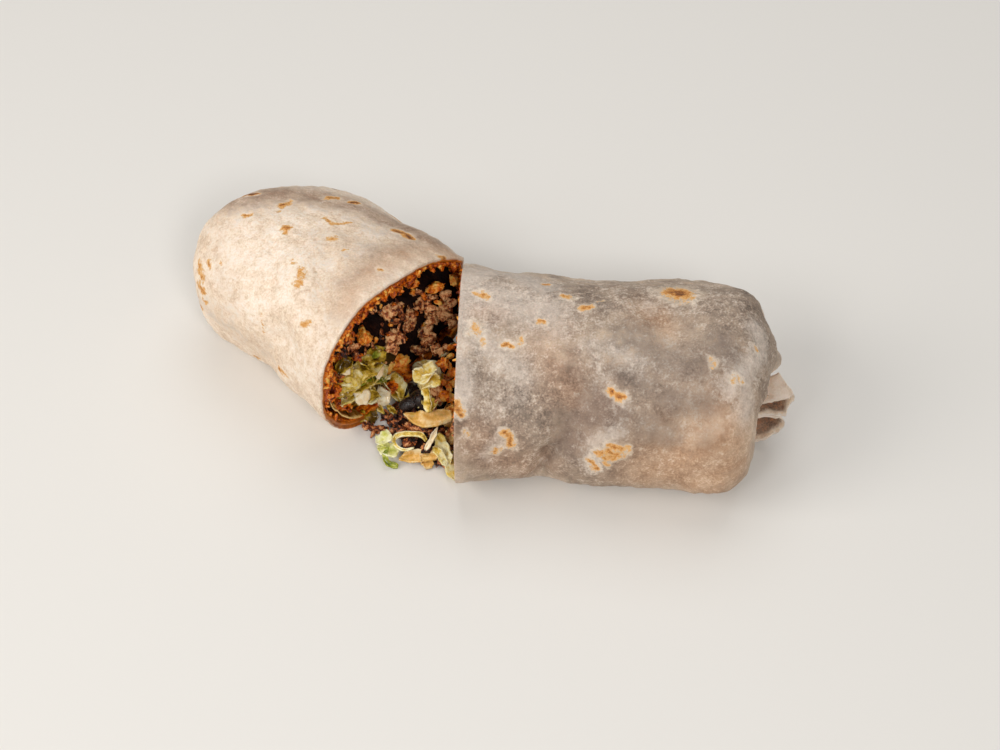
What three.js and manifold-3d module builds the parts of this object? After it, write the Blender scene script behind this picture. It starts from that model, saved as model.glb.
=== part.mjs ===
// A flour-tortilla burrito cut across in two. Both halves lie on a flat surface, pressed together at the
// back of the cut and open at the front, with chopped beef and lettuce spilling out of the gap.
// Millimetres, +Z up, origin at the middle of the underside; the eater sits on the -Y side.
import * as THREE from "three";
import { mergeVertices } from "three/addons/utils/BufferGeometryUtils.js";
import Module from "manifold-3d";

const wasm = await Module();
wasm.setup();
const { Manifold, Mesh } = wasm;

// ---------------------------------------------------------------- driving sizes
const WALL = 1.9; // one layer of tortilla
const UNDERLAP = 1.5; // the second layer where the roll overlaps, under the barrel
const END_FOLDS = 3; // the folded layers that close an end
const LAP = 1.5; // how far the sheet's outer edge stands up where it laps, low at the back
const FLAT = 1.2; // how far the underside is pressed flat
const LUMP = 0.7; // how far the filling pushes the tortilla out or lets it sink in
const GAP = 0.4; // clearance between neighbouring pieces
const SLACK = 0.9; // clearance of the filling inside the tortilla
const RICE = 5; // the lining of rice and melted cheese
const RECESS = 1.5; // how far the packed filling lies behind the cut
const AHEAD = 9; // how far its crumbs may stand out in front of the cut
const FINE = { around: 36, barrel: 11, end: 7 }; // points round a section, rings along the tortilla
const COARSE = { around: 16, barrel: 5, end: 4 }; // the same for the filling
const MIDDLE = [-3.98, -2.94]; // where the middle of the underside lies in the layout below

// Each half is a barrel that runs from its cut to its closed end. cut is the floor point under the crown of
// the cut, heading the direction of the closed end in degrees from +X, skew how far the knife ran off square.
// stations: [share of the length, half width to the eater, half width to the back, height].
// lettuce: [to the eater, height, half width, half height] of the bed of lettuce in a section.
const LEFT = {
  cut: [-39.6, -14.4],
  heading: 137.3,
  skew: -1.2,
  length: 81.7,
  endRound: 22,
  endSquareness: 2.6,
  squareness: { frontTop: 2.3, backTop: 1.8, bottom: 2.4 },
  bellyHeight: 0.53,
  tipHeight: 0.42,
  stations: [
    [0, 29.8, 47.2, 57],
    [0.25, 27.5, 47.3, 57.2],
    [0.5, 26.4, 46.8, 56.4],
    [0.75, 27, 42.2, 53.3],
    [1, 20, 22, 54.5],
  ],
  lettuce: [13, 15, 22, 23],
  seed: 3, // of its lumps and crumbs
};
const RIGHT = {
  cut: [-13.2, -8.8],
  heading: -11.5,
  skew: 9.3,
  length: 106,
  endRound: 24,
  endSquareness: 2.8,
  squareness: { frontTop: 2.2, backTop: 1.9, bottom: 3.2 },
  bellyHeight: 0.41,
  tipHeight: 0.4,
  stations: [
    [0, 49.6, 29.3, 53.7],
    [0.25, 42.2, 30, 53],
    [0.5, 40.4, 33.8, 54.2],
    [0.75, 36.9, 36.6, 56.8],
    [1, 42, 36.8, 57],
  ],
  lettuce: [24, 15, 22, 22],
  seed: 8,
};

// ---------------------------------------------------------------- small helpers
const UP = new THREE.Vector3(0, 0, 1);
const radians = THREE.MathUtils.degToRad;
const clamp = THREE.MathUtils.clamp;
const signedPower = (x, p) => Math.sign(x) * Math.abs(x) ** p;
const middleOf = (points) =>
  points.reduce((sum, p) => sum.add(p), new THREE.Vector3()).divideScalar(points.length);

// A repeatable random draw between low and high.
function dice(seed) {
  let state = seed * 2654435761;
  return (low = 0, high = 1) => {
    state = (state + 0x6d2b79f5) | 0;
    let t = Math.imul(state ^ (state >>> 15), 1 | state);
    t = (t + Math.imul(t ^ (t >>> 7), 61 | t)) ^ t;
    return low + (high - low) * (((t ^ (t >>> 14)) >>> 0) / 4294967296);
  };
}

// A closed manifold-3d solid from points and triangles, turned so that its faces point out.
function closedSolid(points, triangles) {
  let volume = 0;
  for (const [a, b, c] of triangles) volume += points[a].dot(points[b].clone().cross(points[c]));
  const turned = volume < 0 ? triangles.map(([a, b, c]) => [a, c, b]) : triangles;
  const vertProperties = new Float32Array(points.flatMap((p) => p.toArray()));
  return new Manifold(new Mesh({ numProp: 3, vertProperties, triVerts: new Uint32Array(turned.flat()) }));
}

function solidOf(geometry) {
  const bare = geometry.clone();
  bare.deleteAttribute("normal");
  bare.deleteAttribute("uv");
  const merged = mergeVertices(bare, 1e-4);
  const corners = merged.getAttribute("position");
  const points = Array.from({ length: corners.count }, (_, i) =>
    new THREE.Vector3().fromBufferAttribute(corners, i),
  );
  const index = Array.from(merged.index.array);
  return closedSolid(
    points,
    Array.from({ length: index.length / 3 }, (_, i) => index.slice(3 * i, 3 * i + 3)),
  );
}

function geometryOf(solid) {
  const mesh = solid.getMesh();
  const geometry = new THREE.BufferGeometry();
  geometry.setAttribute("position", new THREE.BufferAttribute(new Float32Array(mesh.vertProperties), 3));
  geometry.setIndex(new THREE.BufferAttribute(new Uint32Array(mesh.triVerts), 1));
  geometry.computeVertexNormals();
  return geometry;
}

// The one largest body of a solid, without loose scraps.
const largest = (solid) =>
  solid.decompose().reduce((best, body) => (body.volume() > best.volume() ? body : best));

// Triangles between rings of equally many points, each ring closed on itself.
function skin(ringCount, size, base = 0) {
  const triangles = [];
  for (let i = 0; i + 1 < ringCount; i++)
    for (let j = 0; j < size; j++) {
      const a = base + i * size + j;
      const b = base + i * size + ((j + 1) % size);
      triangles.push([a, b, b + size], [a, b + size, a + size]);
    }
  return triangles;
}

// A solid through rings of points, closed at both ends by a fan.
function loft(sections) {
  const size = sections[0].length;
  const points = sections.flat();
  const first = points.push(middleOf(sections[0])) - 1;
  const last = points.push(middleOf(sections.at(-1))) - 1;
  const lastRing = (sections.length - 1) * size;
  const triangles = skin(sections.length, size);
  for (let j = 0; j < size; j++) {
    const next = (j + 1) % size;
    triangles.push([next, j, first], [lastRing + j, lastRing + next, last]);
  }
  return closedSolid(points, triangles);
}

// ---------------------------------------------------------------- the form of a half
// Hermite curve through the stations, column by column.
function along(stations, column, share) {
  const last = stations.length - 1;
  let i = 0;
  while (i < last - 1 && share > stations[i + 1][0]) i++;
  const slope = (k) => {
    const [a, b] = [stations[Math.max(k - 1, 0)], stations[Math.min(k + 1, last)]];
    return (b[column] - a[column]) / (b[0] - a[0]);
  };
  const [from, to] = [stations[i], stations[i + 1]];
  const span = to[0] - from[0];
  const t = (share - from[0]) / span;
  return (
    (2 * t ** 3 - 3 * t ** 2 + 1) * from[column] +
    (t ** 3 - 2 * t ** 2 + t) * span * slope(i) +
    (-2 * t ** 3 + 3 * t ** 2) * to[column] +
    (t ** 3 - t ** 2) * span * slope(i + 1)
  );
}

// The filling's lumps that show through the tortilla: a few waves, none at the flat underside.
function lump(half, share, angle) {
  const waves =
    Math.sin(9 * share + 2 * angle + half.seed) +
    0.8 * Math.sin(17 * share - 3 * angle + 2.1 * half.seed) +
    0.6 * Math.sin(5 * angle + 6 * share + 0.7 * half.seed);
  return LUMP * waves * clamp(0.35 + 0.65 * Math.sin(angle), 0, 1);
}

// The sheet's outer edge laps over the roll low at the back: a step that fades out under the barrel and
// round the closed end.
function lap(angle, reach) {
  const beyond = (angle - radians(205)) / radians(75);
  const fade = clamp(2 - 1.3 * reach, 0, 1);
  return beyond > 0 && beyond < 1 ? LAP * (1 - beyond) * fade : 0;
}

// Barrel coordinates to the layout: run from the cut, sideways to the eater, height.
function place(half, run, sideways, height) {
  const heading = radians(half.heading);
  const ahead = [Math.cos(heading), Math.sin(heading)];
  const hand = Math.cos(heading) < 0 ? -1 : 1;
  const toEater = [hand * ahead[1], -hand * ahead[0]];
  const fade = clamp(1 - run / (0.75 * half.length), 0, 1);
  const skewed = run + Math.tan(radians(half.skew)) * sideways * fade;
  return new THREE.Vector3(
    half.cut[0] + ahead[0] * skewed + toEater[0] * sideways,
    half.cut[1] + ahead[1] * skewed + toEater[1] * sideways,
    height,
  );
}

// A point of the outside. reach runs from 0 at the cut to 1 at the end of the barrel and to 2 at the tip.
// angle is 0 on the eater's side, 90 degrees on top, 180 at the back and 270 underneath.
function outside(half, reach, angle) {
  const barrel = half.length - half.endRound;
  const turn = Math.max(reach - 1, 0) * (Math.PI / 2);
  const power = 2 / half.endSquareness;
  const taper = Math.cos(turn) ** power;
  const run = Math.min(reach, 1) * barrel + half.endRound * Math.sin(turn) ** power;
  const share = Math.max(run, 0) / half.length;
  const [cos, sin] = [Math.cos(angle), Math.sin(angle)];
  const width = along(half.stations, cos < 0 ? 2 : 1, share);
  const height = along(half.stations, 3, share);
  const { frontTop, backTop, bottom } = half.squareness;
  const squareness = sin < 0 ? bottom : cos < 0 ? backTop : frontTop;
  const belly = half.bellyHeight * height;
  const swell = 1 + (lump(half, share, angle) + lap(angle, reach)) / width;
  const sideways = signedPower(cos, 2 / squareness) * width * swell;
  const rise = signedPower(sin, 2 / squareness) * (sin < 0 ? belly + FLAT : height - belly) * swell;
  const tip = half.tipHeight * height;
  const z = tip + (Math.max(belly + rise, 0) - tip) * taper;
  return place(half, run, sideways * taper, Math.max(z, 0));
}

// The direction in which a half's cut face looks.
function cutNormal(half) {
  const side = place(half, 0, 1, 0).sub(place(half, 0, -1, 0));
  const normal = side.cross(UP).normalize();
  const away = place(half, -1, 0, 0).sub(place(half, 1, 0, 0));
  return normal.dot(away) < 0 ? normal.negate() : normal;
}

// A point `depth` inside the outside, square to it. Up to the end of the barrel it stays in its section.
function inside(half, reach, angle, depth) {
  const point = outside(half, reach, angle);
  const step = 0.02;
  const run = reach * (half.length - half.endRound);
  const round = outside(half, reach, angle + step).sub(outside(half, reach, angle - step));
  const forward =
    reach > 1
      ? outside(half, reach + step, angle).sub(outside(half, reach - step, angle))
      : place(half, run, 1, 0).sub(place(half, run, -1, 0)).cross(UP);
  const inward = round.cross(forward).normalize();
  const core = outside(half, Math.min(reach, 1), 0).add(outside(half, Math.min(reach, 1), Math.PI));
  if (inward.dot(core.multiplyScalar(0.5).sub(point)) < 0) inward.negate();
  return point.addScaledVector(inward, depth);
}

// The left half is pressed flat where it meets the cut of the right half.
function pressed(half, point, depth) {
  if (half !== LEFT) return point;
  const face = cutNormal(RIGHT);
  const room = point.clone().sub(place(RIGHT, 0, 0, 0)).dot(face) - GAP - depth;
  return room < 0 ? point.addScaledVector(face, -room) : point;
}

// Rings of points from the cut to the tip; depth(angle, reach) tells how far in they lie.
function rings(half, depth, start, { around, barrel, end }) {
  const straight = Array.from({ length: barrel }, (_, i) => start + ((1 - start) * i) / barrel);
  const turning = Array.from({ length: end }, (_, i) => 1 + (0.93 * i) / (end - 1));
  return [...straight, ...turning].map((reach) =>
    Array.from({ length: around }, (_, j) => {
      const angle = (2 * Math.PI * j) / around;
      const deep = depth(angle, reach);
      const point = deep ? inside(half, reach, angle, deep) : outside(half, reach, angle);
      return pressed(half, point, deep);
    }),
  );
}

// ---------------------------------------------------------------- tortilla
// One layer, a second one where the roll overlaps underneath, and the folds at the closed end.
function wall(angle, reach) {
  const under = clamp(-1.4 * Math.sin(angle) - 0.4, 0, 1);
  return WALL + UNDERLAP * under + END_FOLDS * clamp((reach - 1) / 0.6, 0, 1);
}

function tortilla(half) {
  const [outer, inner] = [rings(half, () => 0, 0, FINE), rings(half, wall, 0, FINE)];
  const points = [...outer.flat(), ...inner.flat()];
  const size = FINE.around;
  const base = outer.length * size;
  const triangles = [
    ...skin(outer.length, size),
    ...skin(inner.length, size, base).map(([a, b, c]) => [a, c, b]),
  ];
  const tips = [points.push(middleOf(outer.at(-1))) - 1, points.push(middleOf(inner.at(-1))) - 1];
  const lastRing = (outer.length - 1) * size;
  for (let j = 0; j < size; j++) {
    const next = (j + 1) % size;
    triangles.push([lastRing + j, lastRing + next, tips[0]]);
    triangles.push([base + lastRing + next, base + lastRing + j, tips[1]]);
    triangles.push([next, j, base + j], [next, base + j, base + next]);
  }
  return closedSolid(points, triangles);
}

// A thin sheet along a path: `across` is the direction of its width, `wave` how much its edges curl,
// `taper` how much narrower its ends are and `margin` how much larger it is made all round.
function sheet({ path, across, width, thick, wave = 0, taper = 0.55, steps = 6, margin = 0 }) {
  const curve = new THREE.CatmullRomCurve3(path.map((p) => new THREE.Vector3(...p)));
  const side = new THREE.Vector3(...across).normalize();
  const sections = Array.from({ length: steps + 1 }, (_, i) => {
    const t = i / steps;
    const tangent = curve.getTangent(t);
    const normal = tangent.clone().cross(side).normalize();
    if (normal.z < 0) normal.negate();
    const beyond = i === 0 ? -margin : i === steps ? margin : 0;
    const middle = curve.getPoint(t).addScaledVector(tangent, beyond);
    const half = (width / 2) * (1 - taper + taper * Math.sin(Math.PI * (0.12 + 0.76 * t))) + margin;
    const row = (face) =>
      [-1, 0, 1].map((k) =>
        middle
          .clone()
          .addScaledVector(side, k * half)
          .addScaledVector(normal, face * (thick / 2 + margin) + wave * k * k * Math.sin(5 * t + k)),
      );
    return [...row(1), ...row(-1).reverse()];
  });
  return loft(sections);
}

// The ends of the folds that stick out where the right half is tucked in.
const TAIL = [
  { path: [[84, -22, 26], [93, -23.5, 25], [97, -26.5, 22]], across: [-0.4, 1, 0.25], width: 15 },
  { path: [[83, -28, 20], [91, -30, 19], [95.5, -31.5, 16.5]], across: [-0.3, 1, 0], width: 12 },
  { path: [[83, -32, 12.5], [89, -33.5, 12], [92.5, -35, 10]], across: [-0.6, 1, 0.1], width: 13 },
];
function tail() {
  const hollow = space(RIGHT, 0, () => -GAP);
  const fold = { thick: 1.6, wave: 0.8, taper: 0.3, steps: 5 };
  return TAIL.map((flap) => sheet({ ...flap, ...fold }).subtract(hollow));
}

// ---------------------------------------------------------------- filling
// The space inside a half's tortilla from `start` on, `margin(angle)` clear of it.
const space = (half, start, margin) =>
  loft(rings(half, (angle, reach) => wall(angle, reach) + margin(angle), start, COARSE));

// The lining of rice: thick over the top and both flanks, none underneath.
const lining = (angle) => RICE * clamp(1.6 * Math.sin(angle) + 0.85, -0.2, 1);

// The bed of lettuce, a rounded prism along the half, `gap` wider than it is.
function lettuceBed(half, start, gap) {
  const [sideways, height, halfWidth, halfHeight] = half.lettuce;
  const sections = [start, 0.5, 1, 1.2].map((share) =>
    Array.from({ length: 16 }, (_, j) => {
      const angle = (2 * Math.PI * j) / 16;
      return place(
        half,
        share * half.length,
        sideways + (halfWidth + gap) * Math.cos(angle),
        height + (halfHeight + gap) * Math.sin(angle),
      );
    }),
  );
  return loft(sections);
}

// The three beds of a half from `start` (a share of its length) on.
function beds(half, start) {
  const cavity = space(half, start, () => SLACK);
  const lined = space(half, start - 0.02, (angle) => SLACK + lining(angle));
  const core = cavity.intersect(space(half, start - 0.02, (angle) => SLACK + GAP + lining(angle)));
  return {
    rice: largest(cavity.subtract(lined)),
    lettuce: largest(core.intersect(lettuceBed(half, start - 0.02, 0))),
    meat: largest(core.subtract(lettuceBed(half, start - 0.02, GAP))),
  };
}

// A chopped lump: a box with its corners knocked about.
function chunk(random, centre, size) {
  const box = new THREE.BoxGeometry(...size);
  box.deleteAttribute("normal");
  box.deleteAttribute("uv");
  const lumpy = mergeVertices(box);
  const corners = lumpy.getAttribute("position");
  const turn = new THREE.Euler(random(-0.5, 0.5), random(-0.5, 0.5), random(0, 3));
  for (let i = 0; i < corners.count; i++) {
    const corner = new THREE.Vector3().fromBufferAttribute(corners, i);
    corner.multiplyScalar(random(0.72, 1.15)).applyEuler(turn).add(centre);
    corners.setXYZ(i, corner.x, corner.y, corner.z);
  }
  return solidOf(lumpy);
}

// A grain of rice: a stretched octahedron.
function grain(random, centre, size) {
  const shape = new THREE.OctahedronGeometry(1).scale(...size);
  shape.rotateZ(random(0, 3)).rotateX(random(-0.8, 0.8)).translate(centre.x, centre.y, centre.z);
  return solidOf(shape);
}

// A shred of lettuce: a short thin strip.
function shred(random, centre, size) {
  const [length, width, thick] = size;
  const dir = new THREE.Vector3(random(-1, 1), random(-1, 1), random(-0.8, 0.8)).normalize();
  const bend = UP.clone().multiplyScalar(length * random(0.1, 0.25));
  const ends = [-0.5, 0, 0.5].map((k) => centre.clone().addScaledVector(dir, k * length));
  ends[1].add(bend);
  const across = dir.clone().cross(UP).normalize().toArray();
  return sheet({ path: ends.map((p) => p.toArray()), across, width, thick, steps: 4 });
}

// Scatters pieces over the cut face of a bed, fused to it. A piece stays inside its own bed's room and
// clear of everything in `others`.
function crumble(half, bed, room, others, { piece, count, size, ahead }) {
  const random = dice(half.seed * count);
  const pieces = [];
  for (let tries = 0; pieces.length < count && tries < 60 * count; tries++) {
    const sideways = random(-half.stations[0][2], half.stations[0][1]);
    const height = random(2, half.stations[0][3] - 2);
    const centre = place(half, RECESS - random(...ahead), sideways, height);
    const candidate = piece(random, centre, size.map((length) => length * random(0.75, 1.2)));
    if (candidate.subtract(room).volume() > 1e-6) continue;
    if (others.some((other) => candidate.minGap(other, 1) < GAP)) continue;
    if (candidate.intersect(bed).volume() > 0.15 * candidate.volume()) pieces.push(candidate);
  }
  return largest(Manifold.union([bed, ...pieces]));
}

// ---------------------------------------------------------------- the spill
// A low heap of beef and beans in the mouth of the gap, from the back to the front:
// [x, y, half width, height].
const HEAP = [
  [-17.5, 6, 3.5, 20],
  [-20.5, -4, 7, 19],
  [-24, -15, 9.5, 14],
  [-26, -25, 10.5, 9],
  [-25, -34, 9, 5.5],
  [-23.5, -41, 4.5, 2.5],
];
function heap(random) {
  const sections = HEAP.map(([x, y, halfWidth, height]) =>
    Array.from({ length: 8 }, (_, j) => {
      const angle = (Math.PI * j) / 7;
      const bump = random(0.85, 1.1);
      return new THREE.Vector3(x + Math.cos(angle) * halfWidth * bump, y, Math.sin(angle) * height * bump);
    }),
  );
  return loft(sections);
}

// Beef that tumbled further: [x, y, z, size].
const TUMBLED = [
  [-36.5, -26, 4, 7],
  [-33, -31, 4, 7.5],
  [-41, -30.5, 2.6, 5],
  [-26, -33, 7.5, 7.5],
  [-20.5, -35.5, 5.5, 7],
  [-30, -18, 11, 8],
  [-24, -12, 15, 8],
  [-21, -22, 13, 7],
  [-26.5, -24, 11, 7],
  [-19, -2, 20, 6.5],
];

// Loose leaves and shreds, each lying free.
const LEAVES = {
  leaf_pale_yellow: {
    path: [[-33.5, -28.5, 13], [-27, -28.5, 15.5], [-20, -30, 14.5]],
    across: [0.2, 1, -0.25],
    width: 9,
    thick: 1,
    wave: 0.6,
  },
  leaf_inner: {
    path: [[-27.5, -15, 23], [-23.5, -18, 21.5], [-21.5, -23, 19]],
    across: [1, 0.35, 0.2],
    width: 8,
    thick: 1,
    wave: 0.7,
  },
  shred_white: {
    path: [[-19.5, -33, 12], [-22, -36, 9], [-24.5, -39.5, 5.5]],
    across: [1, -0.5, 0],
    width: 3.4,
    thick: 1,
  },
  leaf_curled: {
    path: [[-34.5, -33, 3.6], [-31.5, -35.5, 6.2], [-27.5, -36.5, 5.6], [-25.5, -35, 8]],
    across: [0.2, 1, 0.3],
    width: 4.5,
    thick: 1,
  },
  leaf_crumpled: {
    path: [[-42.5, -32.5, 5], [-39.5, -34, 3.8], [-36.5, -37, 2]],
    across: [0.3, 1, 0.35],
    width: 8.5,
    thick: 1,
    wave: 0.9,
  },
  shred_green: {
    path: [[-39.5, -40.5, 2], [-37, -42.5, 1.3], [-33.5, -43.5, 0.9]],
    across: [0.2, 1, 0],
    width: 3,
    thick: 1,
  },
  leaf_tan: {
    path: [[-32, -39.5, 1.6], [-26, -41, 3], [-19, -41.5, 2.2]],
    across: [0, 1, 0.2],
    width: 6.5,
    thick: 1,
    wave: 0.5,
  },
};

// ---------------------------------------------------------------- assembly
const FINISHES = {
  tortilla: { color: 0xd9cbb8, roughness: 0.75 },
  rice: { color: 0xd9822b, roughness: 0.5 },
  meat: { color: 0x6b4a3a, roughness: 0.55 },
  lettuce: { color: 0xa9b45a, roughness: 0.4 },
  leaf: { color: 0xdfe0a0, roughness: 0.4 },
};

const burrito = new THREE.Group();
burrito.position.set(-MIDDLE[0], -MIDDLE[1], 0);
function add(name, solid, finish) {
  const material = new THREE.MeshStandardMaterial({ metalness: 0, ...FINISHES[finish] });
  const mesh = new THREE.Mesh(geometryOf(solid), material);
  mesh.name = name;
  burrito.add(mesh);
}

// The heap keeps clear of both cuts and of the leaves that lie on it.
const random = dice(21);
let spilled = Manifold.union([
  heap(random),
  ...TUMBLED.map(([x, y, z, s]) => chunk(random, new THREE.Vector3(x, y, z), [s, 0.8 * s, 0.7 * s])),
]);
for (const half of [LEFT, RIGHT]) {
  const face = cutNormal(half);
  spilled = spilled.trimByPlane(face.toArray(), face.dot(place(half, 0, 0, 0)) + GAP);
}
for (const leaf of Object.values(LEAVES)) spilled = spilled.subtract(sheet({ ...leaf, margin: GAP }));
spilled = largest(spilled.trimByPlane([0, 0, 1], 0));

const solids = {
  tortilla_left: [tortilla(LEFT), "tortilla"],
  tortilla_right: [largest(Manifold.union([tortilla(RIGHT), ...tail()])), "tortilla"],
  meat_spilled: [spilled, "meat"],
};
for (const [name, leaf] of Object.entries(LEAVES)) solids[name] = [sheet(leaf), "leaf"];

const CRUMBS = {
  rice: { piece: grain, count: 22, size: [3.2, 1.2, 1.2], ahead: [0, 1.5] },
  meat: { piece: chunk, count: 12, size: [7.5, 6.5, 6], ahead: [-1, 2.5] },
  lettuce: { piece: shred, count: 8, size: [11, 4, 1.3], ahead: [0, 2.5] },
};
const sides = { left: LEFT, right: RIGHT };
for (const [side, half] of Object.entries(sides))
  for (const [kind, bed] of Object.entries(beds(half, RECESS / half.length)))
    solids[`${kind}_${side}`] = [bed, kind];
for (const [side, half] of Object.entries(sides)) {
  const room = beds(half, -AHEAD / half.length);
  for (const [kind, crumbs] of Object.entries(CRUMBS)) {
    const name = `${kind}_${side}`;
    const others = Object.keys(solids).filter((key) => key !== name).map((key) => solids[key][0]);
    solids[name][0] = crumble(half, solids[name][0], room[kind], others, crumbs);
  }
}

for (const [name, [solid, finish]] of Object.entries(solids)) add(name, solid, finish);

export default burrito;
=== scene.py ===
import math
import random

import bmesh
import bpy
import numpy as np
from mathutils import Euler, Matrix, Vector, noise
from mathutils.bvhtree import BVHTree


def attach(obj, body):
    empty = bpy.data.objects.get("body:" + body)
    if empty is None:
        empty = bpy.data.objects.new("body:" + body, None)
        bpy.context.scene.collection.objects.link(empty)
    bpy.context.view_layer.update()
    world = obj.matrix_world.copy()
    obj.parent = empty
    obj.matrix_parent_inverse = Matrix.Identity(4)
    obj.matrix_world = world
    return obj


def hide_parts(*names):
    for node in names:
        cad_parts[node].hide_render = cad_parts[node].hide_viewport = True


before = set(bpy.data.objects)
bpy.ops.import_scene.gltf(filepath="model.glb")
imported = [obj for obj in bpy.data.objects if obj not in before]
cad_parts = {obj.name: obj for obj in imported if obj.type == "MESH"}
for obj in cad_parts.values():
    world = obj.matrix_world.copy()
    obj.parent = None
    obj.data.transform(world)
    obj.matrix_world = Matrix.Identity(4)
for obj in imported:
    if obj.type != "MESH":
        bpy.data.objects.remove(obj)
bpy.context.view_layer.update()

MM = 0.001

# ---------------------------------------------------------------- driving sizes
WALL = 1.9  # one layer of tortilla
UNDERLAP = 1.5  # the second layer under the barrel
END_FOLDS = 3.0  # the folded layers that close an end
LAP = 1.5  # how far the sheet's outer edge stands up where it laps, low at the back
LAP_LINE = math.radians(205)  # where it laps, round the section
FLAT = 1.2  # how far the underside is pressed flat
LUMP = 0.7  # how far the filling pushes the tortilla out or lets it sink in
DENTS = [(13, 0.55), (5, 0.35), (2, 0.12)]  # small dents of the sheet: how wide, how deep
GAP = 0.4  # clearance between neighbouring pieces
RICE = 5.0  # the lining of rice and melted cheese
BARE_AT = math.radians(125)  # where the lining is thinner, round the section
MIDDLE = (3.98, 2.94)  # from the layout's origin to the middle of the underside
EDGE_ROUND = 0.5  # the cut edge is rounded over this
FACE_RECESS = 4.2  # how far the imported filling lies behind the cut
SHALLOW = 1.8  # loose lumps lie only where the face is no deeper
GRAINS = 110  # of rice that show round one cut
CRUMBS = 150  # of cheese and sauce between them
# painted highlight: the tops of lumps, grains and beans are painted paler than their middles
PAINTED_TOP_LIGHT = 0.16  # how much paler a lump's top is than its middle
LUMP_CUTS = 9  # corners sliced off a small lump
CLUMP_CRUMBS = 5  # small lumps on a crumbly clump
BLOCK_LEVEL = 4  # how finely a large lump is made
# Half the length, width and height, least and most. Those of a lump are shares of its size.
LUMP_SHARES = ((0.5, 0.85), (0.32, 0.5), (0.26, 0.42))
GRAIN = ((1, 2.6), (0.5, 0.9), (0.5, 0.8))
BEAN = ((4.2, 5), (2.8, 3.2), (2.4, 2.8))
ON_FLOOR = 0.02  # nothing reaches lower
END_TUCK = 1.6  # the step where the sheet is tucked under at a closed end
TUCK_HEIGHT = 23  # of that step
TUCK_SLOPE = 0.35
COLUMNS = 300  # grid lines round a tortilla
PITCH = 0.62  # between grid lines along a tortilla
CORE_STEP = 3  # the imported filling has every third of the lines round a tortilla
CORE_GAP = 1.5  # from the tortilla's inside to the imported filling
RICE_GAP = 0.2  # from the tortilla's inside to its lining
RICE_FROM = 1.4  # the lining starts this far behind the cut
RICE_TO = 30  # and ends this far behind it
BEYOND_TIP = 200  # a run from the cut that passes any closed end
STRAY_SPOTS = 26  # toasted spots on the sides of a half that face away
STRAY_WIDTHS = (1.4, 3.6)  # their half widths, least and most
STRAY_TONES = (0.5, 1.1)  # how dark they are
STRAY_ABOVE = 4  # none lower than this

# Grids: rows and columns, or rows alone where the columns are those of a tortilla.
INSIDE_ROWS = 70
CORE_ROWS = 60
CORE_RINGS = 27  # across its face
RICE_ROWS = 14
INNER_TURN_ROWS = 20
TAIL_GRID = (16, 90)
HEAP_GRID = (26, 60)
RIBBON_GRID = (33, 11)

# The cut edge from the outside in: how deep, how far back from the cut.
CUT_EDGE = [(0.12, 0.22), (0.4, 0.06), (0.8, 0), (1.3, 0), (1.65, 0.1), (1.85, 0.35)]
SEAM_DEPTH = 1.6  # the seam between two layers in the cut edge

# Each half is a barrel from its cut to its closed end. stations: share of the length, half width to the
# eater, half width to the back, height. bare: how much thinner the rice is at the top back of the cut.
LEFT = {
    "cut": (-39.6, -14.4),
    "heading": 137.3,
    "skew": -1.2,
    "length": 81.7,
    "end_round": 22,
    "end_squareness": 2.6,
    "squareness": {"front": 2.3, "back": 1.8, "bottom": 2.4},
    "belly": 0.53,
    "tip": 0.42,
    "bare": 0.55,
    "stations": [
        (0, 29.8, 47.2, 57), (0.25, 27.5, 47.3, 57.2), (0.5, 26.4, 46.8, 56.4), (0.75, 27, 42.2, 53.3),
        (1, 20, 22, 54.5),
    ],
    "seed": 3,
}
RIGHT = {
    "cut": (-13.2, -8.8),
    "heading": -11.5,
    "skew": 9.3,
    "length": 106,
    "end_round": 24,
    "end_squareness": 2.8,
    "squareness": {"front": 2.2, "back": 1.9, "bottom": 3.2},
    "belly": 0.41,
    "tip": 0.4,
    "bare": 0,
    "stations": [
        (0, 49.6, 29.3, 53.7), (0.25, 42.2, 30, 53), (0.5, 40.4, 33.8, 54.2), (0.75, 36.9, 36.6, 56.8),
        (1, 42, 36.8, 57),
    ],
    "seed": 8,
}

# The view: from the eater's side, looking down. Picture points are those of a picture 1000 wide, 750 high.
TARGET = np.array([*MIDDLE, 0])
ELEVATION = math.radians(48)
DISTANCE = 690.12
LENS = 70
SENSOR = 36
PICTURE = (1000, 750)
TO_CAMERA = np.array([0, -math.cos(ELEVATION), math.sin(ELEVATION)])
CAMERA = TARGET + DISTANCE * TO_CAMERA
RIGHTWARD = np.array([1.0, 0, 0])
UPWARD = np.cross(TO_CAMERA, RIGHTWARD)
FOCAL = LENS / SENSOR * PICTURE[0]


# ---------------------------------------------------------------- small helpers
def signed_power(x, p):
    return np.sign(x) * np.abs(x) ** p


def smoothstep(low, high, x):
    t = np.clip((x - low) / (high - low), 0, 1)
    return t * t * (3 - 2 * t)


def bell(x):
    return np.exp(-(x**2))


def off_floor(points, height=0.0):
    """Raises the points that lie less than `height` above the lowest level allowed."""
    points[..., 2] = np.maximum(points[..., 2], ON_FLOOR + height)
    return points


def unit(vectors):
    return vectors / np.maximum(np.linalg.norm(vectors, axis=-1, keepdims=True), 1e-9)


def clouds(points, size, seed, octaves=3):
    """Cloudy noise, about -1 to 1, in lumps `size` mm across."""
    shift = np.array([37.1, 11.7, 5.3]) * seed
    flat = (points.reshape(-1, 3) / size + shift).tolist()
    values = [noise.fractal(Vector(p), 1.0, 2.0, octaves) for p in flat]
    return np.array(values).reshape(points.shape[:-1])


def in_picture(points):
    """Where points show in the picture."""
    away = points - CAMERA
    depth = -(away @ TO_CAMERA)
    x = PICTURE[0] / 2 + FOCAL * (away @ RIGHTWARD) / depth
    y = PICTURE[1] / 2 - FOCAL * (away @ UPWARD) / depth
    return x, y


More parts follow.
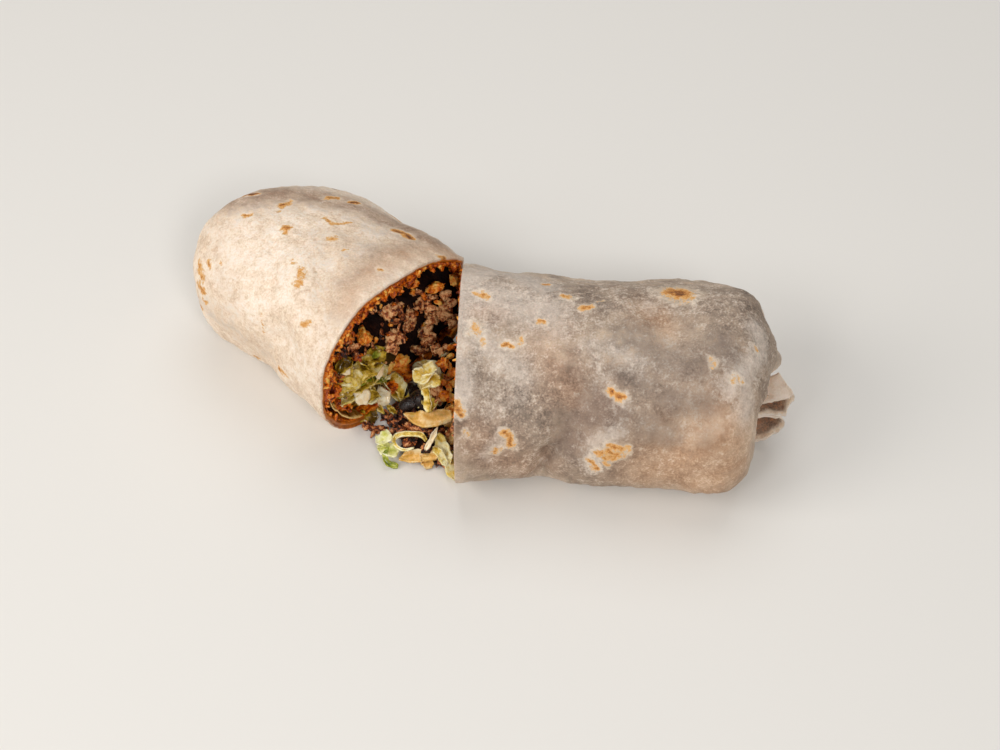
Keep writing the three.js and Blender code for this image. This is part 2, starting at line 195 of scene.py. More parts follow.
def sight_line(x, y):
    """The direction from the camera through a picture point."""
    across = (x - PICTURE[0] / 2) / FOCAL
    up = (PICTURE[1] / 2 - y) / FOCAL
    return unit(across * RIGHTWARD + up * UPWARD - TO_CAMERA)


def at_height(x, y, height):
    """The point at a height that shows at a picture point."""
    ray = sight_line(x, y)
    return CAMERA + ray * ((height - CAMERA[2]) / ray[2])


def between_knots(values, slopes, i, t, span=1):
    """The share t of the way from value i to the next, leaving and arriving at their slopes."""
    return (
        (2 * t**3 - 3 * t**2 + 1) * values[i]
        + (t**3 - 2 * t**2 + t) * span * slopes[i]
        + (3 * t**2 - 2 * t**3) * values[i + 1]
        + (t**3 - t**2) * span * slopes[i + 1]
    )


def curve_through(points):
    """A smooth curve through points, as a function of the share 0 to 1 of its length."""
    points = np.array(points, float)
    slopes = np.gradient(points, axis=0)

    def at(share):
        i = min(int(share * (len(points) - 1)), len(points) - 2)
        return between_knots(points, slopes, i, share * (len(points) - 1) - i)

    return at


# ---------------------------------------------------------------- the form of a half
def along(stations, column, share):
    """A smooth curve through one column of the stations."""
    table = np.array(stations, float)
    knots, values = table[:, 0], table[:, column]
    slopes = np.gradient(values, knots)
    i = np.clip(np.searchsorted(knots, share, side="right") - 1, 0, len(knots) - 2)
    span = knots[i + 1] - knots[i]
    return between_knots(values, slopes, i, (share - knots[i]) / span, span)


def lump(half, share, angle):
    """The filling's lumps that show through the tortilla, none at the underside."""
    seed = half["seed"]
    waves = np.sin(9 * share + 2 * angle + seed)
    waves = waves + 0.8 * np.sin(17 * share - 3 * angle + 2.1 * seed)
    waves = waves + 0.6 * np.sin(5 * angle + 6 * share + 0.7 * seed)
    return LUMP * waves * np.clip(0.35 + 0.65 * np.sin(angle), 0, 1)


def lap(angle, reach):
    """The step of the sheet's outer edge, which fades out underneath and round the closed end."""
    beyond = (angle - LAP_LINE) / math.radians(75)
    fade = np.clip(2 - 1.3 * reach, 0, 1)
    return np.where((beyond > 0) & (beyond < 1), LAP * (1 - beyond) * fade, 0)


def place(half, run, sideways, height):
    """Barrel coordinates to points: run from the cut, sideways to the eater, height."""
    heading = math.radians(half["heading"])
    ahead = (math.cos(heading), math.sin(heading))
    hand = -1 if ahead[0] < 0 else 1
    to_eater = (hand * ahead[1], -hand * ahead[0])
    fade = np.clip(1 - run / (0.75 * half["length"]), 0, 1)
    skewed = run + math.tan(math.radians(half["skew"])) * sideways * fade
    x = half["cut"][0] + MIDDLE[0] + ahead[0] * skewed + to_eater[0] * sideways
    y = half["cut"][1] + MIDDLE[1] + ahead[1] * skewed + to_eater[1] * sideways
    return np.stack(np.broadcast_arrays(x, y, height), axis=-1).astype(float)


def outside(half, reach, angle, lap_angle=None):
    """Points of the outside. reach: 0 at the cut, 1 at the end of the barrel, 2 at the tip. angle: 0 on
    the eater's side, a quarter turn on top."""
    barrel = half["length"] - half["end_round"]
    turn = np.clip(reach - 1, 0, 1) * (math.pi / 2)
    power = 2 / half["end_squareness"]
    taper = np.abs(np.cos(turn)) ** power
    run = np.minimum(reach, 1) * barrel + half["end_round"] * np.sin(turn) ** power
    share = np.maximum(run, 0) / half["length"]
    cos, sin = np.cos(angle), np.sin(angle)
    width = np.where(cos < 0, along(half["stations"], 2, share), along(half["stations"], 1, share))
    height = along(half["stations"], 3, share)
    square = half["squareness"]
    squareness = np.where(sin < 0, square["bottom"], np.where(cos < 0, square["back"], square["front"]))
    belly = half["belly"] * height
    stand = lap(angle if lap_angle is None else lap_angle, reach)
    swell = 1 + (lump(half, share, angle) + stand) / width
    sideways = signed_power(cos, 2 / squareness) * width * swell
    rise = signed_power(sin, 2 / squareness) * np.where(sin < 0, belly + FLAT, height - belly) * swell
    tip = half["tip"] * height
    z = tip + (np.maximum(belly + rise, 0) - tip) * taper
    return place(half, run, sideways * taper, np.maximum(z, 0))


def ahead_of(half):
    """The direction from the cut to the closed end."""
    return unit(place(half, 1.0, 0, 0) - place(half, 0.0, 0, 0))


def across_cut(half):
    """A level step along the cut, towards the eater."""
    return place(half, 0.0, 1, 0) - place(half, 0.0, -1, 0)


def cut_normal(half):
    """The direction in which a half's cut face looks."""
    normal = unit(np.cross(across_cut(half), [0, 0, 1]))
    return normal if normal @ ahead_of(half) < 0 else -normal


def pressed(half, points):
    """The left half is pressed flat where it meets the cut of the right half."""
    if half is not LEFT:
        return points
    face = cut_normal(RIGHT)
    room = (points - place(RIGHT, 0.0, 0, 0)) @ face - GAP
    return points - np.minimum(room, 0)[..., None] * face


def normals_of(points):
    """Outward normals of a grid of points that closes on itself along its second axis."""
    around = np.roll(points, -1, axis=1) - np.roll(points, 1, axis=1)
    onward = np.gradient(points, axis=0)
    normals = unit(np.cross(around, onward))
    outward = points - points.mean(axis=(0, 1))
    return normals if (normals * outward).sum() > 0 else -normals


def wall(angle, reach):
    """One layer, a second one where the roll overlaps underneath, and the folds at the closed end."""
    under = np.clip(-1.4 * np.sin(angle) - 0.4, 0, 1)
    return WALL + UNDERLAP * under + END_FOLDS * np.clip((reach - 1) / 0.6, 0, 1)


# ---------------------------------------------------------------- strokes laid on a surface
class Surface:
    """A grid of points, and where they show in the picture."""

    def __init__(self, points, normals, waver=0.0):
        self.points = points
        self.x, self.y = in_picture(points)
        self.faces_camera = ((CAMERA - points) * normals).sum(-1) > 0
        self.measured = points
        if waver:
            shift = np.stack([clouds(points, 4.0, seed, 3) for seed in (21, 22, 23)], axis=-1)
            self.measured = points + waver * shift

    def pick(self, x, y):
        """The point of the surface that shows at a picture point."""
        far = np.where(self.faces_camera, np.hypot(self.x - x, self.y - y), 1e9)
        return self.points.reshape(-1, 3)[np.argmin(far)]

    def stroke(self, path):
        """Distance in mm from every point, wavering a little, to a line through picture points."""
        route = [self.pick(*p) for p in path]
        best = np.linalg.norm(self.measured - route[0], axis=-1)
        for a, b in zip(route, route[1:]):
            step = b - a
            t = np.clip((self.measured - a) @ step / max(step @ step, 1e-9), 0, 1)
            best = np.minimum(best, np.linalg.norm(self.measured - a - t[..., None] * step, axis=-1))
        return best


# ---------------------------------------------------------------- making meshes
def add_object(name, data):
    thing = bpy.data.objects.new(name, data)
    bpy.context.scene.collection.objects.link(thing)
    return thing


def finish_piece(bm, name, node, material):
    """Turns a bmesh in metres into a smooth piece that replaces a node."""
    mesh = bpy.data.meshes.new(name)
    bm.to_mesh(mesh)
    bm.free()
    mesh.polygons.foreach_set("use_smooth", [True] * len(mesh.polygons))
    mesh.materials.append(material)
    piece = add_object(name, mesh)
    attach(piece, "root")
    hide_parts(node)
    return piece


def closed(bm):
    """Faces outward, and nothing under the floor."""
    bmesh.ops.recalc_face_normals(bm, faces=bm.faces)
    for vert in bm.verts:
        vert.co.z = max(vert.co.z, ON_FLOOR * MM)
    return bm


def lay_grid(bm, verts, points, fields, steps):
    """Moves the vertices of a new grid, `steps` faces wide, to points in mm and gives them their fields."""
    rows, columns = points.shape[:2]
    layers = [(bm.verts.layers.float[name], field.tolist()) for name, field in fields.items()]
    metres = (points * MM).tolist()
    for vert in verts:
        column = round((vert.co.x + 1) / 2 * steps) % columns
        row = round((vert.co.y + 1) / 2 * (rows - 1))
        for layer, field in layers:
            vert[layer] = field[row][column]
        vert.co = metres[row][column]


def grid_body(points, fields):
    """A closed body from a grid of points in mm, whose first and last rows are poles and whose columns
    close on themselves. fields are named numbers for its vertices."""
    rows, columns = points.shape[:2]
    bm = bmesh.new()
    for name in fields:
        bm.verts.layers.float.new(name)
    bmesh.ops.create_grid(bm, x_segments=columns, y_segments=rows - 1, size=1)
    lay_grid(bm, bm.verts, points, fields, columns)
    bmesh.ops.remove_doubles(bm, verts=bm.verts, dist=1e-6)
    bmesh.ops.recalc_face_normals(bm, faces=bm.faces)
    return bm


def add_sheet(bm, points, thick, fields):
    """A sheet `thick` mm thick through a grid of points in mm."""
    rows, columns = points.shape[:2]
    grid = bmesh.ops.create_grid(bm, x_segments=columns - 1, y_segments=rows - 1, size=1)
    verts = grid["verts"]
    lay_grid(bm, verts, points, fields, columns - 1)
    faces = list({face for vert in verts for face in vert.link_faces})
    edges = list({edge for face in faces for edge in face.edges})
    bmesh.ops.solidify(bm, geom=verts + edges + faces, thickness=thick * MM)


def sheet_piece(points, thick, fields, name, node, material):
    """A loose sheet of tortilla."""
    bm = bmesh.new()
    for field in fields:
        bm.verts.layers.float.new(field)
    add_sheet(bm, points, thick, fields)
    finish_piece(closed(bm), name, node, material)


# ---------------------------------------------------------------- rows and columns of a tortilla
def even_reach(half, low, high, pitch):
    """Values of reach that divide the top line into even steps."""
    dense = np.linspace(low, high, 1500)
    line = outside(half, dense, np.full(dense.shape, math.pi / 2))
    length = np.concatenate([[0], np.cumsum(np.linalg.norm(np.diff(line, axis=0), axis=1))])
    count = max(int(length[-1] / pitch), 4)
    return np.interp(np.linspace(0, length[-1], count + 1), length, dense)


def around_section(count):
    """Angles round a section, close together at the lap and further apart underneath."""
    dense = np.linspace(0, 2 * math.pi, 4000)
    weight = np.where(np.sin(dense) < -0.35, 0.45, 1.0)
    weight = weight + 5 * bell((dense - LAP_LINE) / math.radians(0.9))
    total = np.concatenate([[0], np.cumsum(weight[1:] * np.diff(dense))])
    return np.interp(np.linspace(0, total[-1], count + 1)[:-1], total, dense)


# ---------------------------------------------------------------- materials
def rgb(red, green, blue):
    """A colour as it shows on a screen, 0 to 255, in linear numbers."""
    parts = [v / 255 for v in (red, green, blue)]
    return tuple(v / 12.92 if v <= 0.04045 else ((v + 0.055) / 1.055) ** 2.4 for v in parts)


class Finish:
    """A material and short ways to add its nodes. Sizes of patterns are in mm."""

    def __init__(self, name, **constants):
        self.material = bpy.data.materials.new(name)
        self.material.use_nodes = True
        self.tree = self.material.node_tree
        self.shader = self.tree.nodes["Principled BSDF"]
        for key, value in constants.items():
            self.set(key.replace("_", " ").title().replace("Ior", "IOR"), value)
        self.coordinates = self.node("TexCoord", {}, "Object")

    def link(self, value, socket):
        if isinstance(value, bpy.types.NodeSocket):
            self.tree.links.new(value, socket)
        else:
            socket.default_value = (*value, 1) if socket.type == "RGBA" else value

    def set(self, socket, value):
        self.link(value, self.shader.inputs[socket])

    def node(self, kind, inputs, output, **settings):
        """Adds a node, sets or links its inputs, and gives one of its outputs."""
        node = self.tree.nodes.new("ShaderNode" + kind)
        for key, value in settings.items():
            setattr(node, key, value)
        for key, value in inputs.items():
            self.link(value, node.inputs[key])
        return node.outputs[output]

    def clouds(self, size, detail, roughness=0.55, distortion=0.0):
        inputs = {"Vector": self.coordinates, "Scale": 1 / (size * MM), "Detail": detail}
        return self.node("TexNoise", inputs | {"Roughness": roughness, "Distortion": distortion}, "Fac")

    def field(self, name):
        return self.node("Attribute", {}, "Fac", attribute_name=name)

    def math(self, operation, a, b):
        return self.node("Math", {0: a, 1: b}, "Value", operation=operation)

    def total(self, *parts, start):
        """start plus each noise, taken about its middle, times its weight."""
        result = start
        for noise_value, weight in parts:
            swing = self.math("MULTIPLY", self.math("SUBTRACT", noise_value, 0.5), weight)
            result = self.math("ADD", result, swing)
        return result

    def spread(self, value, low, high, to_low=0.0, to_high=1.0):
        """Takes the range low to high to another range, with soft ends."""
        inputs = {"Value": value, "From Min": low, "From Max": high, "To Min": to_low, "To Max": to_high}
        return self.node("MapRange", inputs, "Result", interpolation_type="SMOOTHSTEP")

    def mix(self, factor, a, b):
        return self.node("Mix", {"Factor": factor, 6: a, 7: b}, 2, data_type="RGBA")

    def ramp(self, value, stops):
        """Screen colours along a value."""
        node = self.tree.nodes.new("ShaderNodeValToRGB")
        self.link(value, node.inputs["Fac"])
        elements = node.color_ramp.elements
        while len(elements) < len(stops):
            elements.new(0.5)
        for element, (position, colour) in zip(elements, stops):
            element.position = position
            element.color = (*rgb(*colour), 1)
        return node.outputs["Color"]

    def bump(self, height, distance, strength):
        inputs = {"Height": height, "Distance": distance * MM, "Strength": strength}
        self.set("Normal", self.node("Bump", inputs, "Normal"))


def tortilla_finish():
    """Floury griddled dough: mottled cream, grey where the wet filling shows through, toasted spots. Painted
    shade darkens folds, creases and sides that face away from the light, painted light brightens lit edges,
    and a painted reflection warms the lower front near the cut.
    """
    glow = {"subsurface_weight": 0.1, "subsurface_scale": 0.002, "subsurface_radius": (1, 0.55, 0.35)}
    f = Finish("tortilla dough", roughness=0.62, **glow)
    broad, middling = f.clouds(20, 3), f.clouds(6, 4, 0.6)
    small, fine = f.clouds(2.2, 4, 0.65), f.clouds(0.7, 3, 0.6)
    mottle = f.total((broad, 0.8), (middling, 1.3), (small, 1.3), (fine, 1.4), start=0.5)
    dry = f.ramp(mottle, [
        (0.0, (202, 174, 148)), (0.38, (227, 204, 179)), (0.6, (238, 218, 197)), (1.0, (248, 237, 224))])
    # wet filling behind the dough, and painted shade on sides that face away from the light and in the
    # tail's pockets
    damp_and_painted_shade = f.total((middling, 1.0), (small, 0.8), (fine, 0.4), start=f.field("damp_and_painted_shade"))
    wet = f.total((f.clouds(9, 4, 0.6, 0.4), 1.4), (small, 1.6), (fine, 1.7), start=0.5)
    grey = f.ramp(wet, [
        (0.0, (100, 86, 74)), (0.35, (136, 118, 103)), (0.62, (161, 141, 123)), (1.0, (204, 188, 172))])
    tan = f.ramp(wet, [
        (0.0, (116, 84, 62)), (0.4, (156, 119, 92)), (0.7, (180, 144, 117)), (1.0, (212, 186, 164))])
    # the dough's buttery tone, and on the lip of the left cut a painted reflection of warm light from below
    butter_and_painted_bounce = f.ramp(wet, [
        (0.0, (160, 118, 84)), (0.4, (187, 146, 112)), (0.7, (204, 167, 134)), (1.0, (224, 196, 168))])
    shade = f.mix(f.field("tan"), grey, tan)
    shade = f.mix(f.field("butter_and_painted_bounce"), shade, butter_and_painted_bounce)
    colour = f.mix(f.spread(damp_and_painted_shade, 0.1, 0.9), dry, shade)
    # painted shade: darkens the dough towards grey in folds, creases and darker patches
    painted_shade = f.total((small, 0.9), (fine, 0.7), start=f.field("painted_shade"))
    colour = f.mix(f.spread(painted_shade, 0.2, 1.1, 0, 0.55), colour, rgb(104, 92, 86))
    # dry flour, and painted light on the lit top edge of the right half and along its cut
    flour_and_painted_light = f.total((small, 1.0), (fine, 0.6), start=f.field("flour_and_painted_light"))
    colour = f.mix(f.spread(flour_and_painted_light, 0.15, 1.0, 0, 0.6), colour, rgb(222, 208, 195))
    # toast
    toast = f.total((f.clouds(1.3, 4, 0.75), 2.1), start=f.field("toast"))
    halo = f.total((small, 2.0), start=f.field("toast"))
    colour = f.mix(f.spread(halo, -0.9, 0.1, 0, 0.4), colour, rgb(244, 226, 204))
    browned = f.ramp(f.spread(toast, 0.0, 1.1), [
        (0.0, (226, 190, 146)), (0.25, (218, 164, 96)), (0.6, (190, 124, 54)), (1.0, (112, 62, 22))])
    colour = f.mix(f.spread(toast, -0.05, 0.2), colour, browned)
    # grease from the filling on the cut edge and the inside, and on the lower front near the cut a painted
    # reflection of warm light bounced from below
    stain = f.total((small, 0.8), (fine, 0.5), start=f.field("grease_and_painted_bounce"))
    greasy = f.mix(f.spread(middling, 0.4, 0.6), rgb(206, 118, 30), rgb(158, 84, 22))
    colour = f.mix(f.spread(stain, 0.25, 0.65), colour, greasy)
    f.set("Base Color", colour)
    f.set("Roughness", f.spread(stain, 0.25, 0.65, 0.72, 0.4))
    pores = f.total((small, 0.6), (fine, 0.5), (f.spread(toast, 0.0, 0.3), -0.25), start=0.5)
    f.bump(pores, 0.55, 0.75)
    return f.material


# ---------------------------------------------------------------- marks and relief of the tortillas
# Toasted spots: picture points of a stroke, its half width in mm, how dark it is.
TOAST_LEFT = [
    ([(244, 215), (252, 214)], 1.1, 0.75), ([(283, 206), (286, 204)], 1.7, 0.9),
    ([(286, 204), (289, 202)], 1.1, 0.7), ([(277, 212), (280, 210)], 0.9, 0.5),
    ([(283, 229), (289, 228)], 1.4, 0.8), ([(286, 229), (286, 233)], 1.2, 0.8),
    ([(328, 198), (335, 198)], 1.9, 0.8), ([(351, 203), (358, 203)], 1.2, 1),
    ([(325, 218), (331, 223)], 1.2, 0.8), ([(332, 223), (349, 222)], 0.9, 0.6),
    ([(330, 238), (334, 239)], 1.6, 0.5), ([(342, 250), (347, 250)], 0.8, 0.5),
    ([(395, 230), (403, 233), (411, 237)], 1.7, 1.1), ([(440, 257), (444, 256)], 1.2, 0.8),
    ([(380, 270), (383, 270)], 1, 0.7), ([(302, 272), (298, 283)], 2, 0.45),
    ([(305, 323), (309, 321)], 1.3, 0.6), ([(261, 314), (262, 333)], 0.8, 0.22),
    ([(278, 369), (282, 371)], 1.2, 0.9), ([(282, 372), (286, 375)], 1.5, 0.35),
    ([(208, 263), (210, 266)], 1.3, 0.6), ([(199, 264), (201, 276)], 2.2, 0.5),
    ([(198, 284), (202, 292)], 1.8, 0.5), ([(201, 288), (204, 293)], 1.6, 0.75),
    ([(203, 300), (206, 304)], 1.3, 0.4), ([(221, 262), (223, 264)], 1, 0.3),
    ([(293, 262), (296, 264)], 1.2, 0.25), ([(236, 199), (256, 194)], 1.2, 1.7),
    ([(328, 188), (339, 189)], 1, 1.5),
]
TOAST_RIGHT = [
    ([(474, 292), (482, 293)], 1.1, 0.7), ([(481, 294), (489, 297)], 1.3, 0.8),
    ([(475, 322), (475, 328)], 2.1, 0.36), ([(544, 281), (549, 282)], 1.1, 1),
    ([(563, 296), (567, 297)], 1.3, 0.8), ([(568, 299), (572, 300)], 0.9, 0.5),
    ([(583, 309), (591, 306)], 1.3, 0.8), ([(538, 322), (544, 322)], 1.1, 0.8),
    ([(504, 346), (512, 346)], 1.1, 0.95), ([(521, 337), (522, 343)], 1, 0.28),
    ([(481, 340), (482, 344)], 1.1, 0.35), ([(598, 302), (603, 301)], 0.6, 0.6),
    ([(675, 291), (682, 294)], 4.8, 1.05), ([(671, 287), (674, 288)], 1.6, 0.9),
    ([(664, 292), (668, 293)], 1.4, 0.6), ([(689, 297), (692, 298)], 1.4, 0.8),
    ([(711, 360), (712, 367)], 1.1, 0.22), ([(755, 348), (756, 350)], 0.9, 0.35),
    ([(609, 392), (613, 393)], 1.4, 0.8), ([(615, 396), (622, 395)], 1.3, 0.85),
    ([(616, 398), (619, 400)], 1.1, 0.7), ([(734, 379), (739, 380)], 1.2, 0.12),
    ([(453, 403), (457, 407)], 1.8, 0.9), ([(457, 407), (462, 415)], 1.4, 1),
    ([(504, 431), (509, 436), (510, 443)], 1.4, 0.75), ([(494, 451), (497, 450)], 1.3, 0.75),
    ([(499, 448), (502, 446)], 1, 0.6), ([(465, 433), (467, 434)], 1, 0.3),
    ([(596, 453), (600, 454)], 1.6, 0.6), ([(603, 457), (607, 459)], 1.4, 0.6),
    ([(608, 452), (612, 457)], 1.7, 0.65), ([(619, 458), (624, 457)], 1.2, 0.55),
    ([(605, 464), (608, 465)], 1, 0.6), ([(626, 447), (630, 448)], 0.9, 0.45),
    ([(609, 446), (614, 449)], 1.7, 0.7), ([(611, 453), (618, 454)], 1.6, 0.6),
    ([(609, 460), (613, 460)], 1.2, 0.6), ([(620, 449), (623, 450)], 1.3, 0.75),
    ([(625, 453), (629, 453)], 1.1, 0.6), ([(590, 461), (596, 467)], 1.3, 0.8),
]
# Tones: picture points of each stroke, its half width in mm, its strength.
TONES_LEFT = {
    "damp_and_painted_shade": [
        # the strokes along the top and behind the ridge near the cut are partly wet filling showing through,
        # partly painted shade on sides that face away from the light
        ([(240, 200), (320, 196), (390, 222), (455, 258)], 11, 0.7),
        ([(345, 245), (400, 255)], 14, 0.25), ([(205, 310), (260, 350)], 9, 0.3),
        ([(346, 300), (372, 266), (410, 248), (455, 262)], 10, 0.58),
        # the lip along the bottom of the cut: a painted reflection of warm light bounced from below
        ([(334, 422), (346, 430), (362, 426)], 3, 0.9),
    ],
    "tan": [
        # partly the dough's tan, partly painted shade on the top and the side behind the ridge
        ([(240, 200), (320, 196), (390, 222), (455, 258)], 16, 0.6),
        ([(346, 300), (372, 266), (410, 248), (455, 262)], 10, 0.6),
    ],
    "butter_and_painted_bounce": [
        ([(350, 305), (376, 274), (412, 256), (455, 264)], 7, 0.9),
        # the lip along the bottom of the cut: a painted reflection of warm light bounced from below
        ([(334, 422), (346, 430), (362, 426)], 3, 1),
    ],
    "flour_and_painted_light": [([(220, 235), (225, 285)], 10, 0.5), ([(330, 330), (320, 390)], 9, 0.45)],
}
TONES_RIGHT = {
    "damp_and_painted_shade": [
        ([(480, 290), (740, 300), (760, 360), (640, 400), (480, 400), (520, 460), (700, 470)], 34, 0.85),
    ],
    # flour, and painted light along the lit top edge and near the cut
    "flour_and_painted_light": [
        ([(462, 280), (500, 270), (540, 284)], 9, 1), ([(478, 335), (520, 372)], 8, 0.75),
        ([(540, 300), (640, 310), (730, 300)], 9, 0.35), ([(545, 300), (500, 295), (470, 285)], 7, 0.4),
        ([(597, 350), (600, 378)], 5, 0.55), ([(616, 404), (626, 404)], 2.5, 0.5),
        ([(614, 432), (594, 442), (592, 468)], 4.5, 0.8), ([(502, 432), (486, 456)], 4, 0.6),
        ([(757, 330), (762, 352), (745, 372), (730, 388)], 6, 0.85), ([(744, 376), (746, 412)], 6, 0.85),
        ([(585, 345), (612, 350), (640, 364)], 5, 0.6), ([(459, 290), (461, 400)], 6, 0.9),
        ([(462, 292), (548, 312)], 12, 0.85), ([(550, 296), (560, 330)], 7, 0.65),
        ([(490, 412), (520, 398)], 5, 0.5), ([(650, 306), (656, 336)], 7, 0.6),
        ([(470, 384), (500, 392)], 6, 0.4), ([(680, 430), (660, 470)], 5, 0.3),
    ],
    "tan": [
        # the strokes from (545, 340) and from (600, 400) are painted shade in the hollow and the fold; the
        # rest is the dough's own tan
        ([(545, 340), (575, 395)], 9, 0.65), ([(478, 308), (500, 313)], 4, 0.8),
        ([(600, 400), (570, 440), (600, 410)], 7, 0.6), ([(470, 440), (530, 470)], 10, 0.6),
    ],
    # painted shade in the folds and creases of the right half, and over its darker grey patches
    "painted_shade": [
        ([(568, 370), (585, 388)], 5, 0.5), ([(618, 372), (650, 384)], 6, 0.75),
        ([(674, 400), (704, 404)], 8, 0.9), ([(700, 372), (706, 428)], 7, 0.6),
        ([(646, 424), (666, 434)], 8, 0.8), ([(578, 417), (578, 440)], 4.5, 1),
        ([(574, 424), (572, 452)], 8, 0.8), ([(600, 398), (606, 412)], 8, 1),
        ([(704, 424), (706, 444)], 7, 0.6), ([(712, 352), (716, 384)], 7, 0.6),
        ([(668, 302), (692, 330)], 5, 0.5), ([(545, 474), (556, 458), (572, 440)], 2.5, 0.7),
        ([(636, 340), (665, 358), (700, 372)], 11, 0.75), ([(566, 448), (578, 424), (600, 408)], 7, 1),
        ([(598, 402), (612, 416)], 9, 1), ([(720, 344), (732, 364)], 7, 0.9),
    ],
    "butter_and_painted_bounce": [
        ([(660, 470), (720, 430), (740, 460), (700, 485)], 15, 0.8), ([(650, 312), (664, 326)], 7, 0.55),
    ],
}
# Relief: picture points of a stroke, its half width in mm, how far it sinks (minus: stands up).
RELIEF_LEFT = [
    ([(274, 240), (274, 282)], 1.8, 0.9), ([(325, 255), (320, 309)], 4.5, 1.2),
    ([(300, 250), (300, 300)], 5, -0.5), ([(262, 366), (285, 340)], 6, 2.5),
    ([(207, 320), (235, 345)], 8, 1.5), ([(385, 206), (410, 220)], 9, 1.5),
    ([(300, 330), (280, 372)], 3.5, -0.8),
]
RELIEF_RIGHT = [
    ([(600, 384), (575, 408), (560, 435), (543, 478)], 4.5, 2.4), ([(575, 425), (571, 450)], 3, 1),
    ([(545, 455), (540, 484)], 2.5, 3), ([(545, 470), (558, 452), (572, 436)], 2, 1.2),
    ([(590, 400), (540, 430), (500, 440)], 6, -0.8), ([(556, 380), (572, 376)], 1.2, 0.5),
    ([(630, 300), (640, 345)], 6, -0.7), ([(640, 380), (700, 330)], 7, 0.6),
    ([(705, 410), (668, 458)], 3.5, 0.7), ([(515, 268), (540, 275), (580, 278)], 8, 1.5),
    ([(767, 300), (775, 335)], 7, 3.1), ([(752, 296)], 6, -0.9), ([(540, 395), (552, 391)], 1.5, -0.5),
    ([(772, 350), (776, 364)], 6, -1.6), ([(777, 358), (779, 366)], 4, -2.2),
    ([(640, 280), (700, 284)], 8, 0.9), ([(776, 388), (768, 412), (762, 432)], 7, 3.6),
    ([(782, 372), (772, 393), (760, 415)], 2.2, 1.8),
]

# The pleats at the right half's closed end: their front edge, in the layout's millimetres, and how they
# run back from it.
TAIL_EDGE = [
    (84, -30.5, 17.5), (91, -31, 20.6), (97, -31, 22.6), (98.6, -31, 24), (98.8, -31.3, 22.6),
    (97.4, -31.4, 20), (96.2, -31.8, 15.8), (92, -32, 15.4), (85, -32, 15.2), (91, -32.3, 14.8),
    (95.6, -32.6, 14), (96.1, -33, 11.4), (94.8, -33, 8.2), (91, -33.6, 5.8), (85, -34.5, 2.4),
]
TAIL_DEPTH = (-4.4, 10.2, 0.6)
TAIL_THICK = 0.8

# The loose inner turn of the left half's sheet: where it starts and ends round the section, and how far
# it hangs clear.
INNER_TURN = (math.radians(288), math.radians(8))
INNER_TURN_GAP = 2.6


def laid_on(surface, strokes, shape):
    """The strongest of several strokes at every point; shape(distance / half width) is their profile."""
    total = np.zeros(surface.x.shape)
    for path, half_width, strength in strokes:
        total = np.maximum(total, strength * shape(surface.stroke(path) / half_width))
    return total


def toasted(field, depth, tone):
    """Adds a spot to a field that is above 0 inside spots and falls to -1 outside them."""
    return np.maximum(field, np.where(depth > 0, depth * tone, depth * 0.8))


def toast_field(surface, spots):
    field = np.full(surface.x.shape, -1.0)
    for path, half_width, tone in spots:
        field = toasted(field, 1 - surface.stroke(path) / half_width, tone)
    return field


def stray_spots(surface, seed):
    """Toasted spots on the sides that face away from the view."""
    draw = random.Random(seed)
    field = np.full(surface.x.shape, -1.0)
    flat = surface.points.reshape(-1, 3)
    hidden = np.flatnonzero((~surface.faces_camera).ravel() & (flat[:, 2] > STRAY_ABOVE))
    for _ in range(STRAY_SPOTS):
        middle = flat[draw.choice(hidden)]
        stretched = (surface.points - middle) * [1, 1, draw.uniform(0.6, 1.4)]
        depth = 1 - np.linalg.norm(stretched, axis=-1) / draw.uniform(*STRAY_WIDTHS)
        field = toasted(field, depth, draw.uniform(*STRAY_TONES))
    return field


class Roll:
    """The outside of one half with its relief, and the way into it at every point."""

    def __init__(self, half, relief):
        self.half = half
        self.barrel = half["length"] - half["end_round"]
        self.angles = around_section(COLUMNS)
        self.reach = even_reach(half, EDGE_ROUND / self.barrel, 2, PITCH)[::-1]
        reach, angle = np.meshgrid(self.reach, self.angles, indexing="ij")
        wander = math.radians(2.5) * np.sin(7 * reach + half["seed"])
        true_angle = angle + wander * bell((angle - LAP_LINE) / 0.35)
        points = pressed(half, outside(half, reach, true_angle, angle))
        normals = normals_of(points)
        self.surface = Surface(points, normals, waver=0.9)
        seeds = range(half["seed"], half["seed"] + len(DENTS))
        lift = sum(deep * clouds(points, wide, seed) for (wide, deep), seed in zip(DENTS, seeds))
        lift -= END_TUCK * smoothstep(1.0, 1.2, reach) * smoothstep(0.6, -0.6, self.above_tuck(points))
        lift *= smoothstep(0.3, 5, points[..., 2])
        for path, half_width, depth in relief:
            lift -= depth * bell(self.surface.stroke(path) / half_width)
        points = off_floor(points + normals * lift[..., None])
        points[0] = points[0].mean(axis=0)
        self.outer = points
        self.ahead = ahead_of(half)
        level = unit(normals - (normals @ self.ahead)[..., None] * self.ahead)
        turned = smoothstep(1.0, 1.3, reach)[..., None]
        self.inward = -unit((1 - turned) * level + turned * normals)
        self.wall = wall(angle, reach)

    def above_tuck(self, points):
        """How far points lie above the line on the closed end where the sheet is tucked under."""
        sideways = (points - points[0, 0]) @ unit(across_cut(self.half))
        return points[..., 2] - TUCK_HEIGHT + TUCK_SLOPE * sideways + 1.2 * np.sin(0.25 * sideways)

    def rows(self, nearest, furthest, count):
        """Row numbers, from the row `furthest` mm behind the cut to the one `nearest` mm behind it."""
        run = np.minimum(self.reach, 1) * self.barrel + 40 * np.maximum(self.reach - 1, 0)
        wanted = np.linspace(furthest, nearest, count)
        return np.unique([int(np.argmin(np.abs(run - mm))) for mm in wanted])

    def within(self, depth, rows, columns=slice(None)):
        """Rings of points that lie `depth` further in than the tortilla's inside."""
        deep = self.wall[rows][:, columns] + depth
        return off_floor(self.outer[rows][:, columns] + self.inward[rows][:, columns] * deep[..., None])


